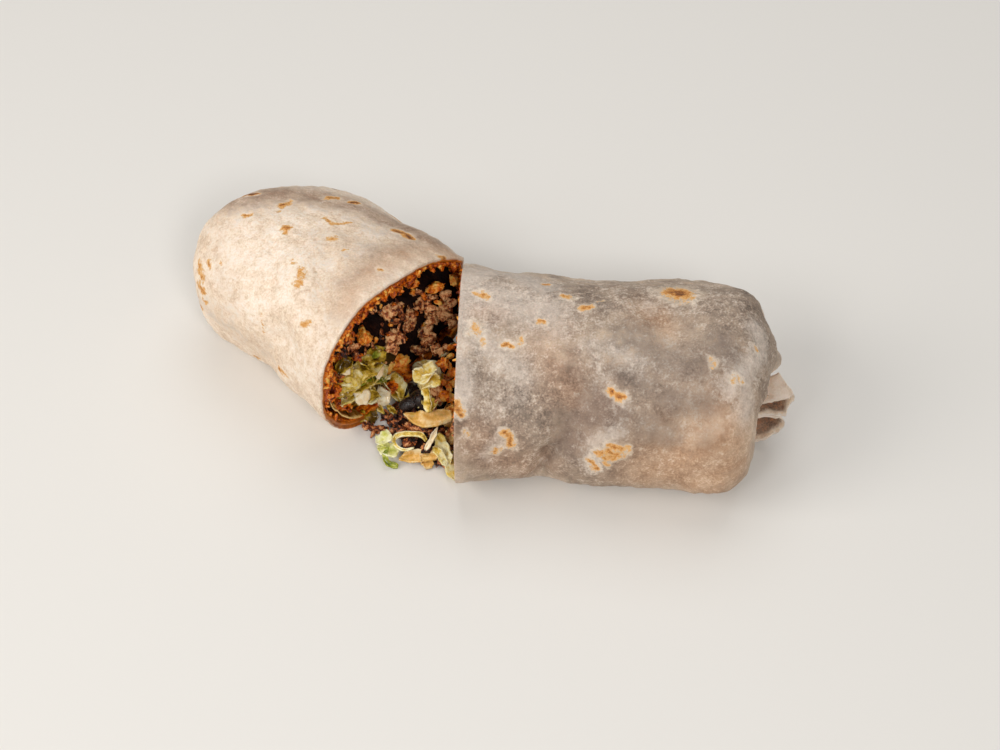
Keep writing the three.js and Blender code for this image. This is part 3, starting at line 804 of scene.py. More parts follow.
# ---------------------------------------------------------------- the tortillas
def make_tortilla(roll, name, node, spots, tones, material):
    """The outside from the tip to the cut, the cut edge, and the inside back again."""
    surface = roll.surface
    stray = stray_spots(surface, roll.half["seed"])
    fields = {"toast": np.maximum(toast_field(surface, spots), stray)}
    for tone in ("damp_and_painted_shade", "flour_and_painted_light", "tan", "butter_and_painted_bounce", "painted_shade"):
        fields[tone] = laid_on(surface, tones.get(tone, []), bell)
    last, inward = roll.outer[-1], roll.inward[-1]
    share = roll.wall[-1][:, None] / WALL
    double = (roll.wall[-1][:, None] - WALL) / UNDERLAP
    edge = []
    for depth, back in CUT_EDGE:
        seam = SEAM_DEPTH * double * bell((depth - 0.8) / 0.25)
        edge.append(last + inward * depth * share - roll.ahead * (EDGE_ROUND - back - seam))
    back_rows = roll.rows(EDGE_ROUND, BEYOND_TIP, INSIDE_ROWS)[::-1]
    inner = roll.within(0, back_rows)
    inner[-1] = inner[-1].mean(axis=0)
    points = off_floor(np.concatenate([roll.outer, edge, inner]))
    extra = len(points) - len(roll.outer)
    for key, field in fields.items():
        fields[key] = np.concatenate([field, np.repeat(field[-1:], extra, axis=0)])
    near_cut = 0.12 * smoothstep(3.0, 0.6, np.minimum(roll.reach, 1) * roll.barrel)
    stain = [0.16 + 0.84 * smoothstep(0.5, 1.5, depth) for depth, _ in CUT_EDGE]
    grease_and_painted_bounce = np.concatenate([near_cut, stain, np.ones(len(back_rows))])[:, None]
    # the lower front near the cut gets more of the orange: a painted reflection of warm light bounced from
    # below
    lower = np.clip(-np.sin(roll.angles), 0, 1) * np.clip(np.cos(roll.angles) * 4, 0, 1)
    fields["grease_and_painted_bounce"] = np.minimum(grease_and_painted_bounce * (1 + 3.5 * lower), 1)
    finish_piece(grid_body(points, fields), name, node, material)


def make_tail(material):
    """The pleats of the tucked sheet that stick out of the right half's closed end."""
    line = curve_through(TAIL_EDGE)
    rows, columns = TAIL_GRID
    edge = np.array([line(share) for share in np.linspace(0, 1, columns)]) + [*MIDDLE, 0]
    shares = np.linspace(0, 1, rows)[:, None, None]
    ragged = 0.09 * clouds(edge, 3, 34)[None, :, None] * (1 - shares)
    points = edge[None] + (shares + ragged) * np.array(TAIL_DEPTH)
    points = points + 0.6 * np.stack([clouds(points, 4, seed) for seed in (31, 32, 33)], axis=-1)
    inner = np.linspace(0, 1, columns)[None] * np.ones((rows, 1))
    fields = {
        "toast": np.full(inner.shape, -1.0),
        # deeper in the pockets between the pleats: filling residue and painted shade
        "damp_and_painted_shade": np.maximum(0.05, smoothstep(0.02, 0.3, shares[..., 0]) * smoothstep(0.3, 0.4, inner)),
        "tan": np.full(inner.shape, 0.3),
        "flour_and_painted_light": 0.9 * smoothstep(0.35, 0.25, inner) + 0.9 * smoothstep(0.08, 0.02, shares[..., 0]),
        "grease_and_painted_bounce": 0.34 * smoothstep(0.05, 0.35, shares[..., 0]) * smoothstep(0.3, 0.4, inner),
    }
    sheet_piece(points, TAIL_THICK, fields, "tail_pleats", "tortilla_right", material)


def make_inner_turn(roll):
    """The loose inner turn of the sheet that shows along the bottom of the left half's cut."""
    start, end = INNER_TURN
    columns = [*np.flatnonzero(roll.angles > start), *np.flatnonzero(roll.angles < end)]
    share = np.linspace(0, 1, len(columns))[None]
    rows = roll.rows(0.3, 16, INNER_TURN_ROWS)
    depth = 0.4 + INNER_TURN_GAP * np.sin(math.pi * share) ** 0.8
    points = off_floor(roll.within(depth, rows, columns), 1.5)
    back = np.linspace(1, 0, len(rows))[:, None] * np.ones_like(share)
    fields = {"tint": 1.3 - 1.2 * smoothstep(0.0, 0.14, back)}
    sheet_piece(points, TAIL_THICK, fields, "inner_turn_left", "tortilla_left", FINISHES["oily"])


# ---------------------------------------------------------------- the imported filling
def make_core(roll, name, node, material, hollows, greens):
    """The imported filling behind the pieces, from the tip to its rough face in the cut."""
    rows = roll.rows(FACE_RECESS, BEYOND_TIP, CORE_ROWS)
    side = roll.within(CORE_GAP, rows, slice(None, None, CORE_STEP))
    side[0] = side[0].mean(axis=0)
    centre = side[-1].mean(axis=0)
    shares = np.linspace(1, 0, CORE_RINGS)[1:, None, None]
    face = centre + (side[-1] - centre) * shares
    plane = Surface(face, np.broadcast_to(-roll.ahead, face.shape))
    sunk = 1.1 * clouds(face, 6, roll.half["seed"], 4) + 0.5 * clouds(face, 2, 5)
    for path, half_width, depth in hollows:
        sunk += depth * bell(plane.stroke(path) / half_width)
    sunk = sunk * smoothstep(1.0, 0.9, shares[..., 0])
    sunk[-1] = sunk[-1].mean()
    face = face + roll.ahead * sunk[..., None]
    green = laid_on(plane, greens, lambda r: smoothstep(1.3, 0.8, r)) if greens else 0 * sunk
    fields = {"green": np.concatenate([np.zeros(side.shape[:2]), green])}
    piece = finish_piece(grid_body(np.concatenate([side, face]), fields), name, node, material)
    bearing = (sunk < SHALLOW) & (shares[..., 0] < 0.8) & (shares[..., 0] > 0)
    return piece, face[bearing]


def lining_thickness(angles, seed):
    """Uneven, thick over the top and both flanks, a smear underneath."""
    uneven = 0.72 + 0.3 * np.sin(5 * angles + seed) * np.sin(2 * angles + 1)
    uneven = uneven + 0.16 * np.sin(13 * angles + 2 * seed)
    rise = np.sin(angles)
    return RICE * uneven * np.clip(np.where(rise < 0, 0.55 + 1.3 * rise, 0.55 + 0.6 * rise), 0.1, 1.05)


def make_rice(roll, name, node, seed):
    """The lining of rice and melted cheese: a lumpy band inside the tortilla, with grains over its edge."""
    rows = roll.rows(RICE_FROM, RICE_TO, RICE_ROWS)
    thick = lining_thickness(roll.angles, seed)
    thick *= 1 - roll.half["bare"] * bell((roll.angles - BARE_AT) / 0.38)
    outer = roll.within(RICE_GAP, rows)
    lip = [
        roll.within(RICE_GAP + thick * share, rows[-1:]) - roll.ahead * forward
        for share, forward in ((0.12, 0.6), (0.35, 0.9), (0.6, 0.8), (0.85, 0.4))
    ]
    inner = roll.within(RICE_GAP + thick, rows)[::-1]
    band = np.concatenate([outer, *lip, inner])
    rough = 1.0 * clouds(band, 3.2, seed, 3) + 0.5 * clouds(band, 1.2, seed + 1, 2)
    rough[: len(rows)] = 0
    rough *= np.clip(thick / 3, 0, 1)
    front = len(rows) + len(lip)
    band[:front] -= roll.ahead * rough[:front, :, None]
    band[front:] += roll.inward[rows][::-1] * rough[front:, :, None]
    band = np.concatenate([band, band[:1]])
    bm = grid_body(band, {"tint": np.full(band.shape[:2], 0.3)})
    pile = Pile(seed, bm)
    draw = pile.draw
    weight = thick * smoothstep(-0.8, -0.4, np.sin(roll.angles))
    for index in range(GRAINS + CRUMBS):
        column = draw.choices(range(COLUMNS), weights=weight)[0]
        share = draw.uniform(0.08, 1.1)
        deep = roll.wall[rows[-1], column] + RICE_GAP + thick[column] * share
        centre = roll.outer[rows[-1], column] + roll.inward[rows[-1], column] * deep
        centre = centre - roll.ahead * draw.uniform(-1.0, 0.9)
        tint = draw.choice((0.0, 0.1, 0.2, 0.35, 0.5, 0.6, 0.9))
        if index < GRAINS:
            pile.grain(centre, tint)
        else:
            pile.lump(centre, draw.uniform(1.2, 3.2), tint, level=2, rough=0.34)
    pile.finish(name, node, "rice", "rice")


# ---------------------------------------------------------------- small pieces
def chopped(draw, sizes, rough, cuts, blunt=2.8):
    """The form of a chopped lump: a blunt box with corners sliced off and a torn, fibrous surface."""
    slices = []
    for _ in range(cuts):
        normal = Vector([draw.gauss(0, 1) for _ in range(3)]).normalized()
        slices.append((normal, draw.uniform(0.45, 0.9)))
    shift = Vector([draw.uniform(0, 90) for _ in range(3)])

    def shape(d):
        reach = (abs(d.x) ** blunt + abs(d.y) ** blunt + abs(d.z) ** blunt) ** (-1 / blunt)
        for normal, height in slices:
            slope = d.dot(normal)
            if slope * reach > height:
                reach = height / slope
        at = d * reach
        fibres = Vector((at.x * 1.3, at.y * 5, at.z * 5))
        torn = noise.noise(at * 1.5 + shift) + 0.6 * noise.noise(fibres + shift)
        torn += 0.7 * noise.noise(at * 4 + shift) + 0.45 * noise.noise(at * 8 + shift)
        return Vector((d.x * sizes[0], d.y * sizes[1], d.z * sizes[2])) * reach * (1 + rough * torn)

    return shape


def plump(sizes, bend):
    """The form of a bean or grain: an egg bent along its length."""
    return lambda d: Vector((d.x * sizes[0], d.y * sizes[1] + bend * d.x * d.x, d.z * sizes[2]))


class Pile:
    """Small pieces gathered into one mesh. tint, from about 0 to 1, sets their place in its colours."""

    def __init__(self, seed, bm=None):
        self.bm = bm or bmesh.new()
        layers = self.bm.verts.layers.float
        self.tint = layers.get("tint") or layers.new("tint")
        self.draw = random.Random(seed)

    def finish(self, name, node, slot, finish):
        finish_piece(closed(self.bm), name, node, FINISHES[finish])

    def turn(self, steep=3.0):
        return Euler([self.draw.uniform(-steep, steep) for _ in range(3)]).to_matrix()

    def sizes(self, limits):
        return [self.draw.uniform(*pair) for pair in limits]

    def ball(self, level, shape, centre, turn, tint):
        middle = Vector(centre)
        for vert in bmesh.ops.create_icosphere(self.bm, subdivisions=level, radius=1)["verts"]:
            way = vert.co.normalized()
            vert.co = (turn @ shape(way) + middle) * MM
            # the top of each piece is painted paler: painted highlight
            vert[self.tint] = tint + PAINTED_TOP_LIGHT * (turn @ way).z

    def lump(self, centre, size, tint, level, rough=0.28):
        """A chopped lump about `size` mm across, lying any way up."""
        sizes = [size * share for share in self.sizes(LUMP_SHARES)]
        self.ball(level, chopped(self.draw, sizes, rough, LUMP_CUTS), centre, self.turn(), tint)

    def block(self, centre, wide, high, tint, rough, cuts, blunt=2.8):
        """A chopped lump `wide` by `high` mm as it shows from the camera."""
        sizes = [0.56 * wide, 0.56 * high, 0.45 * min(wide, high)]
        facing = Matrix((RIGHTWARD, UPWARD, TO_CAMERA)).transposed()
        shape = chopped(self.draw, sizes, rough, cuts, blunt)
        self.ball(BLOCK_LEVEL, shape, centre, facing @ self.turn(0.25), tint)

    def clump(self, centre, wide, high, tint):
        """A crumbly clump `wide` by `high` mm as it shows from the camera."""
        self.block(centre, 0.92 * wide, 0.92 * high, tint, rough=0.4, cuts=13)
        small = min(wide, high)
        for _ in range(CLUMP_CRUMBS):
            angle, reach = self.draw.uniform(0, 2 * math.pi), self.draw.uniform(0.2, 0.42)
            off = RIGHTWARD * (math.cos(angle) * reach * wide) + UPWARD * (math.sin(angle) * reach * high)
            off = off + TO_CAMERA * (small * self.draw.uniform(-0.1, 0.35))
            size = small * self.draw.uniform(0.3, 0.62)
            self.lump(centre + off, size, tint + self.draw.uniform(-0.45, 0.3), level=3, rough=0.42)

    def grain(self, centre, tint):
        shape = plump(self.sizes(GRAIN), self.draw.uniform(-0.4, 0.4))
        self.ball(2, shape, centre, self.turn(), tint)

    def bean(self, centre, tint):
        self.ball(3, plump(self.sizes(BEAN), 1.1), centre, self.turn(), tint)

    def ribbon(self, path, width, facing, curl, tints, ruffle, thick=0.7, tip=(0.35, 0.35)):
        """A leaf or shred along a path, its face looking along `facing`. tints: at its middle and margins.
        tip: how wide its first and last ends are, as a share of its width."""
        line = curve_through(path)
        shift = Vector([self.draw.uniform(0, 90) for _ in range(3)])

        def wave(*at):
            return noise.noise(Vector(at) + shift)

        shares, sides = np.linspace(0, 1, RIBBON_GRID[0]), np.linspace(-1, 1, RIBBON_GRID[1])
        points, tint = np.zeros((*RIBBON_GRID, 3)), np.zeros(RIBBON_GRID)
        for i, share in enumerate(shares):
            tangent = unit(line(min(share + 0.02, 1)) - line(max(share - 0.02, 0)))
            across = unit(np.cross(np.array(facing, float), tangent))
            up = np.cross(tangent, across)
            margin = 0.85 * min(1, tip[0] + 3.2 * share, tip[1] + 3.2 * (1 - share))
            for j, side in enumerate(sides):
                ragged = 1 + 0.4 * wave(share * 4, side, 0) + 0.16 * wave(share * 12, side, 0)
                crumple = wave(share * 3, side * 1.2, 3)
                crumple += 0.3 * wave(share * 7, side * 2, 7) * (0.3 + abs(side))
                rise = crumple * ruffle + curl * side * side
                off = across * (side * width / 2 * margin * ragged) + up * rise
                points[i, j] = line(share) + off
                # the crumple term paints raised crumples paler and the dips darker: painted light and shade
                tint[i, j] = tints[0] + (tints[1] - tints[0]) * abs(side) ** 1.5 + 0.12 * crumple
        add_sheet(self.bm, points, thick, {"tint": tint})


class Ground:
    """What small pieces come to lie on."""

    def __init__(self, pieces):
        graph = bpy.context.evaluated_depsgraph_get()
        self.trees = [BVHTree.FromObject(piece, graph) for piece in pieces]

    def land(self, x, y, lift):
        """The point in mm that shows at a picture point, moved `lift` mm towards the camera."""
        ray = sight_line(x, y)
        reach = CAMERA[2] / -ray[2]
        for tree in self.trees:
            distance = tree.ray_cast(Vector(CAMERA) * MM, Vector(ray))[3]
            if distance is not None:
                reach = min(reach, distance / MM)
        return CAMERA + ray * (reach - lift)

    def path(self, points, lift):
        return [self.land(x, y, lift) for x, y in points]


# ---------------------------------------------------------------- finishes of the filling
def filling_finish(name, stops, size, roughness, grain=1.0, swing=0.3, **constants):
    """A moist cooked finish whose colour runs through `stops` with the piece's tint and, by `swing`,
    with cloudy noise."""
    f = Finish(name, roughness=roughness, subsurface_radius=(1, 0.95, 0.9), **constants)
    patches = f.clouds(size, 4, 0.65)
    noisy = f.spread(patches, 0.32, 0.68, 0.17 - swing, 0.17 + swing)
    value = f.math("ADD", f.math("MULTIPLY", f.field("tint"), 0.65), noisy)
    f.set("Base Color", f.ramp(value, stops))
    f.set("Roughness", f.spread(f.clouds(size * 0.7, 3), 0.35, 0.65, roughness - 0.12, roughness + 0.15))
    f.bump(f.math("ADD", patches, f.math("MULTIPLY", f.clouds(size * 0.3, 3), 0.5)), 0.5 * grain, 0.8)
    return f.material


def leafy_finish(name, stops, roughness, weight, grain=0.5):
    return filling_finish(
        name, stops, 3.5, roughness, grain=grain, subsurface_weight=weight, subsurface_scale=0.002)


def core_painted_shade_finish():
    # near black, olive under the leaves: painted shade in the gaps between the pieces and under the spilled
    # heap
    f = Finish("filling in painted shade", roughness=0.8, specular_ior_level=0.15)
    patches = f.clouds(3, 4, 0.6)
    brown = f.ramp(patches, [(0.3, (14, 5, 3)), (0.55, (34, 14, 8)), (0.75, (66, 32, 14))])
    olive = f.ramp(patches, [(0.3, (58, 40, 10)), (0.55, (96, 72, 22)), (0.75, (136, 108, 38))])
    f.set("Base Color", f.mix(f.field("green"), brown, olive))
    f.bump(f.clouds(1.2, 4, 0.6), 0.8, 0.8)
    return f.material


FINISHES = {
    "beef": filling_finish(
        "cooked beef",
        [(0, (24, 6, 2)), (0.32, (116, 48, 16)), (0.66, (214, 126, 66)), (1, (255, 200, 140))],
        1.7, 0.34, grain=1.8, swing=0.55, specular_ior_level=0.45),
    "rice": filling_finish(
        "orange rice and cheese",
        [(0, (90, 24, 1)), (0.3, (186, 78, 8)), (0.62, (244, 134, 24)), (1, (255, 200, 100))],
        1.9, 0.3, swing=0.38, specular_ior_level=0.35, subsurface_weight=0.15, subsurface_scale=0.001),
    "lettuce": leafy_finish(
        "lettuce and pepper",
        [(0, (88, 62, 4)), (0.25, (160, 126, 20)), (0.55, (226, 190, 72)), (0.95, (255, 246, 196))],
        0.2, 0.35, grain=0.4),
    "onion": filling_finish(
        "onion",
        [(0, (206, 172, 104)), (0.5, (248, 220, 170)), (1, (255, 242, 212))],
        2.4, 0.24, grain=0.5, subsurface_weight=0.2, subsurface_scale=0.001),
    "leaf": leafy_finish(
        "pale leaf",
        [(0, (160, 136, 44)), (0.25, (200, 150, 62)), (0.5, (228, 174, 88)), (1, (255, 232, 180))],
        0.3, 0.3),
    "green": leafy_finish(
        "green leaf",
        [(0, (86, 104, 8)), (0.3, (150, 158, 40)), (0.6, (214, 212, 112)), (1, (250, 246, 206))],
        0.26, 0.3),
    "oily": filling_finish(
        "oily dough", [(0, (92, 54, 10)), (0.5, (168, 116, 44)), (1, (250, 214, 138))], 3, 0.36),
    "bean": filling_finish("black bean", [(0, (14, 8, 8)), (0.5, (34, 22, 20)), (1, (84, 66, 60))], 2, 0.22),
}

# ---------------------------------------------------------------- where the pieces lie
# painted light: the beef between these columns is also painted paler
FORWARD = (415, 446)  # between these picture columns the pieces come further out of the cut
BEEF_FORWARD = 5  # by this much at most
CHEESE_FORWARD = 6
TRIES = 40  # places tried for each strewn lump
# Picture points, width and height in mm as they show, tint.
BEEF_LEFT = [
    (387, 310, 6.5, 7, 0.8), (398, 306, 4.2, 5.2, 0.45), (407, 323, 5.6, 9, 0.6),
    (393, 340, 7.2, 10.4, 0.85), (371, 309, 5.8, 4.2, 0.55), (427, 298, 7.4, 3.4, 0.4),
    (416, 292, 4.6, 3.6, 0.3), (420, 306, 4, 4, 0.35), (430, 308, 4.8, 4.6, 0.6),
    (431, 319, 6.4, 5, 0.6), (445, 296, 5, 3.6, 0.7), (443, 306, 3.8, 3, 0.8), (451, 303, 3.4, 4, 0.5),
    (439, 313, 3, 3.2, 0.3), (446, 314, 5, 4.6, 0.6), (452, 322, 4.4, 6.2, 0.8),
    (426, 337, 6.6, 8.4, 0.55), (419, 351, 5.6, 4.4, 0.65), (353, 348, 5.2, 4.8, 0.5),
    (407, 379, 7.6, 5.2, 0.55), (437, 394, 5, 7.6, 0.65), (441, 336, 4.6, 5.2, 0.5),
    (437, 350, 4.6, 4.8, 0.5), (343, 361, 5, 4, 0.25), (418, 369, 4.6, 4.2, 0.4),
    (453, 330, 3.4, 4.4, 0.7), (447, 378, 3, 3, 0.6), (447, 347, 3, 3, 0.5), (340, 371, 4.2, 3.6, 0.3),
]
CHEESE = [
    (365, 338, 6.6, 7.6, 0.8), (402, 363, 7, 6.4, 0.72), (388, 367, 3.4, 5.6, 1.1),
    (436, 288, 6.6, 3.6, 0.6), (454, 280, 3.4, 5.8, 0.85), (443, 364, 3.8, 5.6, 0.6),
    (451, 337, 2.2, 3.8, 0.85), (452, 347, 2.6, 3, 0.7), (451, 356, 2.8, 3, 0.95),
    (452, 373, 3, 4.4, 0.75), (453, 383, 3, 3.6, 0.9), (452, 397, 3.4, 4.2, 1),
    (453, 408, 3.2, 4.2, 0.8), (439, 303, 2.6, 2.6, 0.75), (449, 388, 2.4, 4, 0.8),
    (449, 366, 2, 3.4, 0.95), (404, 338, 2.4, 2, 0.35), (329, 377, 5.6, 7.6, 0.05),
    (333, 391, 6.6, 6.6, 0.15), (345, 405, 5.6, 5, 0.35), (349, 409, 3, 3, 0.75),
    (341, 378, 4, 4.4, 0.1), (446, 397, 3.6, 3.6, 0.6), (337, 405, 4, 5, 0.3), (357, 356, 4.2, 4.4, 0.3),
    (443, 382, 2.6, 3, 0.5), (349, 336, 3.6, 6, 0.45), (385, 290, 7, 3.6, 0.5), (407, 283, 6, 4.4, 0.6),
    (397, 291, 4.2, 3.2, 0.45), (338, 360, 3.6, 5, 0.4),
]
BEANS = [(409, 391, 0.1), (419, 397, 0.3), (413, 404, 0.2), (425, 404, 0.5)]
BEEF_SPILLED = [
    (379, 430, 6.8, 4.2, 0.6), (395, 423, 5.8, 6.6, 0.3), (418, 428, 8.6, 4.2, 0.65),
    (409, 443, 6.6, 5, 0.4), (434, 434, 5, 4, 0.5), (441, 459, 3.6, 4, 0.3), (387, 417, 4.2, 5, 0.4),
    (405, 411, 5, 5, 0.3), (430, 409, 5, 5, 0.5), (447, 436, 5, 6, 0.65), (402, 432, 4.6, 4.4, 0.4),
    (427, 448, 4.2, 4, 0.35), (448, 466, 4, 4, 0.4), (369, 427, 4.6, 3.4, 0.65), (391, 435, 4, 3.4, 0.3),
    (415, 417, 5, 4.6, 0.2), (452, 449, 4.6, 5, 0.55), (400, 420, 6, 6.6, 0.45), (397, 409, 4.6, 5, 0.3),
]
# Lumps strewn over a cut: how many, size, how far from others, tints, how finely made.
STREWN_BEEF_LEFT = [(5, 4, 4.6, (0.1, 0.5), 3), (40, 2.2, 2.2, (0.1, 0.8), 2)]
STREWN_CHEESE = [(30, 2.4, 2, (0.1, 0.8), 2)]
STREWN_BEEF_RIGHT = [(60, 6.5, 4.6, (0.3, 0.9), 3), (130, 2.8, 2, (0.2, 0.9), 2)]
# Strips: picture points, width in mm, curl, tints at the middle and the margins.
STRIPS_LEFT = [
    ([(338, 373), (344, 365), (351, 360)], 5.5, 1.2, (-0.25, 0.15)),
    ([(364, 364), (373, 357), (383, 350)], 6.5, 1.6, (0, 0.3)),
    ([(344, 389), (352, 378), (363, 368), (377, 362)], 8, 1.8, (0.2, 0.65)),
    ([(352, 391), (364, 383), (377, 376)], 4.6, 1.4, (0.1, 0.7)),
    ([(374, 383), (379, 381), (385, 386)], 2.6, 0.6, (0.6, 0.95)),
    ([(382, 380), (390, 382), (397, 389), (401, 401)], 8, 2, (0.45, 0.95)),
    ([(394, 384), (402, 391), (404, 403)], 4, 1.2, (0.35, 0.8)),
    ([(384, 379), (392, 383), (399, 392)], 8.5, 1, (0.3, 0.8)),
    ([(371, 401), (378, 406), (384, 413)], 2.2, 0.5, (0.3, 0.7)),
    ([(387, 405), (393, 410), (397, 415)], 2.2, 0.5, (0.4, 0.8)),
    ([(347, 399), (361, 407), (376, 409)], 6, -1.2, (0, 0.3)),
    ([(354, 413), (366, 418), (378, 415)], 5, -0.8, (-0.2, 0.1)),
    ([(352, 424), (355, 418), (358, 413)], 2.2, 0.4, (0.8, 1)),
    ([(358, 361), (367, 372), (372, 384)], 3, 0.8, (0.2, 0.6)),
    ([(380, 361), (384, 369), (382, 378)], 3.4, 0.6, (1.1, 1.2)),
]
# Beds of small leaf pieces: the middle in the picture, reach either way, count, lengths, widths, how far
# forward they lie, tints.
LETTUCE_BED = ((362, 384), (26, 19), 13, (7, 12), (5.0, 8.0), 2.4, (0.0, 0.85))
PALE_BED = ((430, 384), (10, 20), 10, (4, 8), (2.2, 4.2), 3.4, (0.4, 1.0))
GREEN_LEFT = [
    ([(357, 387), (366, 379), (376, 378), (385, 380)], 2.4, 0.6, (0, 0.2)),
    ([(372, 357), (380, 352), (386, 350)], 2.4, 0.6, (0.1, 0.4)),
]
STRIPS_RIGHT = [
    ([(417, 371), (428, 369), (441, 373)], 7.5, 1.6, (0.85, 1)),
    ([(419, 387), (430, 380), (441, 378)], 5.5, 1.4, (0.7, 1)),
    ([(424, 384), (430, 396), (432, 410)], 6, 1.3, (0.65, 0.95)),
    ([(441, 356), (448, 349), (455, 343)], 1.8, 0.3, (1.1, 1.1)),
    ([(437, 434), (444, 450), (450, 464)], 4.6, 1.2, (0.85, 1)),
    ([(450, 452), (452, 466), (455, 479)], 5.5, 1, (0.85, 1)),
    ([(434, 446), (441, 455), (446, 464)], 3, 0.8, (0.75, 1)),
]
INNER_FOLD = [(449, 404), (448, 414), (450, 425), (451, 434), (453, 444)]
ONION = [
    (362, 394, 5.6, 6.6, 0.9), (384, 396, 4.4, 6.4, 0.9), (380, 371, 3, 5, 0.8),
    (346, 372, 2.6, 2.6, 0.6),
]
HOLLOWS = [
    ([(424, 278), (444, 276)], 2.8, 8), ([(402, 296), (412, 308)], 2.8, 7),
    ([(360, 324), (380, 324)], 3.4, 7), ([(408, 342), (411, 356)], 3.2, 7),
    ([(417, 322), (413, 334)], 2.6, 5), ([(334, 366), (344, 358)], 2.4, 4.5),
    ([(440, 340), (444, 336)], 2.4, 5), ([(410, 392), (424, 402)], 3.6, 4),
    ([(446, 296), (449, 330)], 5, -4), ([(444, 350), (447, 375)], 4, -3),
]
GREENS_LEFT = [([(350, 390), (372, 375), (392, 388), (372, 402)], 9, 1)]

# The spilled heap's profile from the back to the front: x, y, half width, height.
HEAP = [
    (-17.5, 6, 3.5, 20), (-20.5, -4, 7, 19), (-24, -15, 9.5, 14), (-26, -25, 10.5, 9),
    (-25, -34, 9, 5.5), (-23.5, -41, 4.5, 2.5),
]

# Loose leaves and shreds: finish, and for each ribbon the picture points and heights it runs through, its
# width, the way it faces, curl and tints.
LEAVES = {
    "leaf_pale_yellow": ("leaf", [
        ([(404, 413, 12), (419, 418, 12.5), (434, 418, 13), (452, 415, 14)],
            6, (0.1, -0.5, 0.86), 0.1, (0.3, 0.75)),
    ]),
    "leaf_inner": ("lettuce", [
        ([(416, 370, 22.5), (425, 375, 22.5), (436, 367, 23.5)], 6.5, (-0.5, -0.5, 0.7), 2.2, (0.7, 1.2)),
        ([(421, 389, 20), (428, 380, 21.5), (441, 379, 22.5)], 5.5, (-0.2, -0.7, 0.6), 1.8, (0.6, 1.1)),
        ([(424, 383, 20), (430, 395, 18.5), (431, 411, 17)], 3.4, (-0.6, -0.7, 0.4), 1.2, (0.2, 1)),
    ]),
    "shred_white": ("onion", [
        ([(438, 427, 12), (432, 438, 9.5), (425, 449, 6.5)], 1.9, (-0.2, -0.6, 0.8), 0.3, (1, 1)),
    ]),
    "leaf_curled": ("lettuce", [
        ([(414, 447, 6.5), (405, 449, 5.5), (397, 446, 5.5), (394, 439, 6), (400, 434, 7), (411, 433, 8),
            (421, 434, 9), (426, 440, 8.5)], 1.9, (0, -0.7, 0.7), 0.3, (0.25, 1)),
    ]),
    "leaf_crumpled": ("green", [
        ([(377, 443, 5), (383, 439, 6), (392, 435, 7.5)], 5.5, (-0.3, -0.5, 0.8), 1.5, (0.85, 1.1)),
        ([(378, 448, 3), (388, 449, 3.8), (398, 453, 3)], 5.5, (0.2, -0.5, 0.85), 1.5, (0.7, 1.05)),
    ]),
    "shred_green": ("green", [
        ([(389, 447, 5.5), (385, 455, 3.4), (388, 463, 1.8), (398, 466, 1.2)],
            2.4, (0, -0.6, 0.8), 0.4, (0, 0.15)),
    ]),
    "leaf_tan": ("leaf", [
        ([(399, 459, 1.8), (412, 456, 3), (426, 455, 3.6), (441, 452, 4.6)],
            5.2, (0, -0.4, 0.9), 0.6, (0.45, 0.7)),
        ([(419, 455, 4), (426, 460, 2.6), (428, 468, 1.2)], 4.2, (0.2, -0.5, 0.85), 0.4, (0.5, 0.75)),
    ]),
}


def make_heap_core(name, node, material):
    """The low mound of crumbs under the spilled pieces."""
    profile = np.array(HEAP, float)
    rows = np.linspace(0, len(HEAP) - 1, HEAP_GRID[0])
    x, y, half_width, height = (np.interp(rows, range(len(HEAP)), profile[:, k])[:, None] for k in range(4))
    angle = np.linspace(0, 2 * math.pi, HEAP_GRID[1], endpoint=False)[None]
    points = np.stack(np.broadcast_arrays(
        x + MIDDLE[0] + 0.9 * half_width * np.cos(angle),
        y + MIDDLE[1],
        0.8 * height * np.maximum(np.sin(angle), 0),
    ), axis=-1)
    rough = 1.4 * clouds(points, 5, 4) + 0.7 * clouds(points, 2, 6)
    points[..., 2] += rough * (points[..., 2] > 0.5)
    off_floor(points)
    points[0] = points[0].mean(axis=0)
    points[-1] = points[-1].mean(axis=0)
    bm = grid_body(points, {"green": np.zeros(points.shape[:2])})
    return finish_piece(bm, name, node, material)


def scatter_leaves(pile, ground, middle, reach, count, lengths, widths, lift, tints):
    """Short curled pieces of leaf, one over another, round a picture point."""
    draw = pile.draw
    for _ in range(count):
        angle, far = draw.uniform(0, 2 * math.pi), math.sqrt(draw.random())
        x, y = middle[0] + reach[0] * far * math.cos(angle), middle[1] + reach[1] * far * math.sin(angle)
        centre = ground.land(x, y, lift * draw.uniform(0.5, 1.1))
        angle = draw.uniform(0, math.pi)
        step = RIGHTWARD * math.cos(angle) + UPWARD * math.sin(angle) + TO_CAMERA * draw.uniform(-0.4, 0.4)
        step = step * draw.uniform(*lengths) / 2
        facing = TO_CAMERA + RIGHTWARD * draw.gauss(0, 0.45) + UPWARD * draw.gauss(0, 0.45)
        tint = draw.uniform(*tints)
        route = [centre - step, centre + TO_CAMERA * draw.uniform(0, 1.2), centre + step]
        width, curl = draw.uniform(*widths), draw.uniform(0.3, 1.6)
        shades = (tint, tint + draw.uniform(0.05, 0.45))
        pile.ribbon(route, width, facing, curl=curl, ruffle=0.7, tints=shades, tip=(0.5, 0.5))


def strew(pile, roll, face, taken, kinds):
    """Adds lumps at random points of a cut face, clear of the pieces that lie there already."""
    draw = pile.draw
    for count, size, apart, tints, level in kinds:
        for _ in range(TRIES * count):
            if count == 0:
                break
            at = face[draw.randrange(len(face))]
            if all(np.linalg.norm(at - other) > apart for other in taken):
                taken.append(at)
                forward = draw.uniform(0, 1.6)
                across = size * draw.uniform(0.75, 1.25)
                pile.lump(at - roll.ahead * forward, across, draw.uniform(*tints), level=level)
                count -= 1


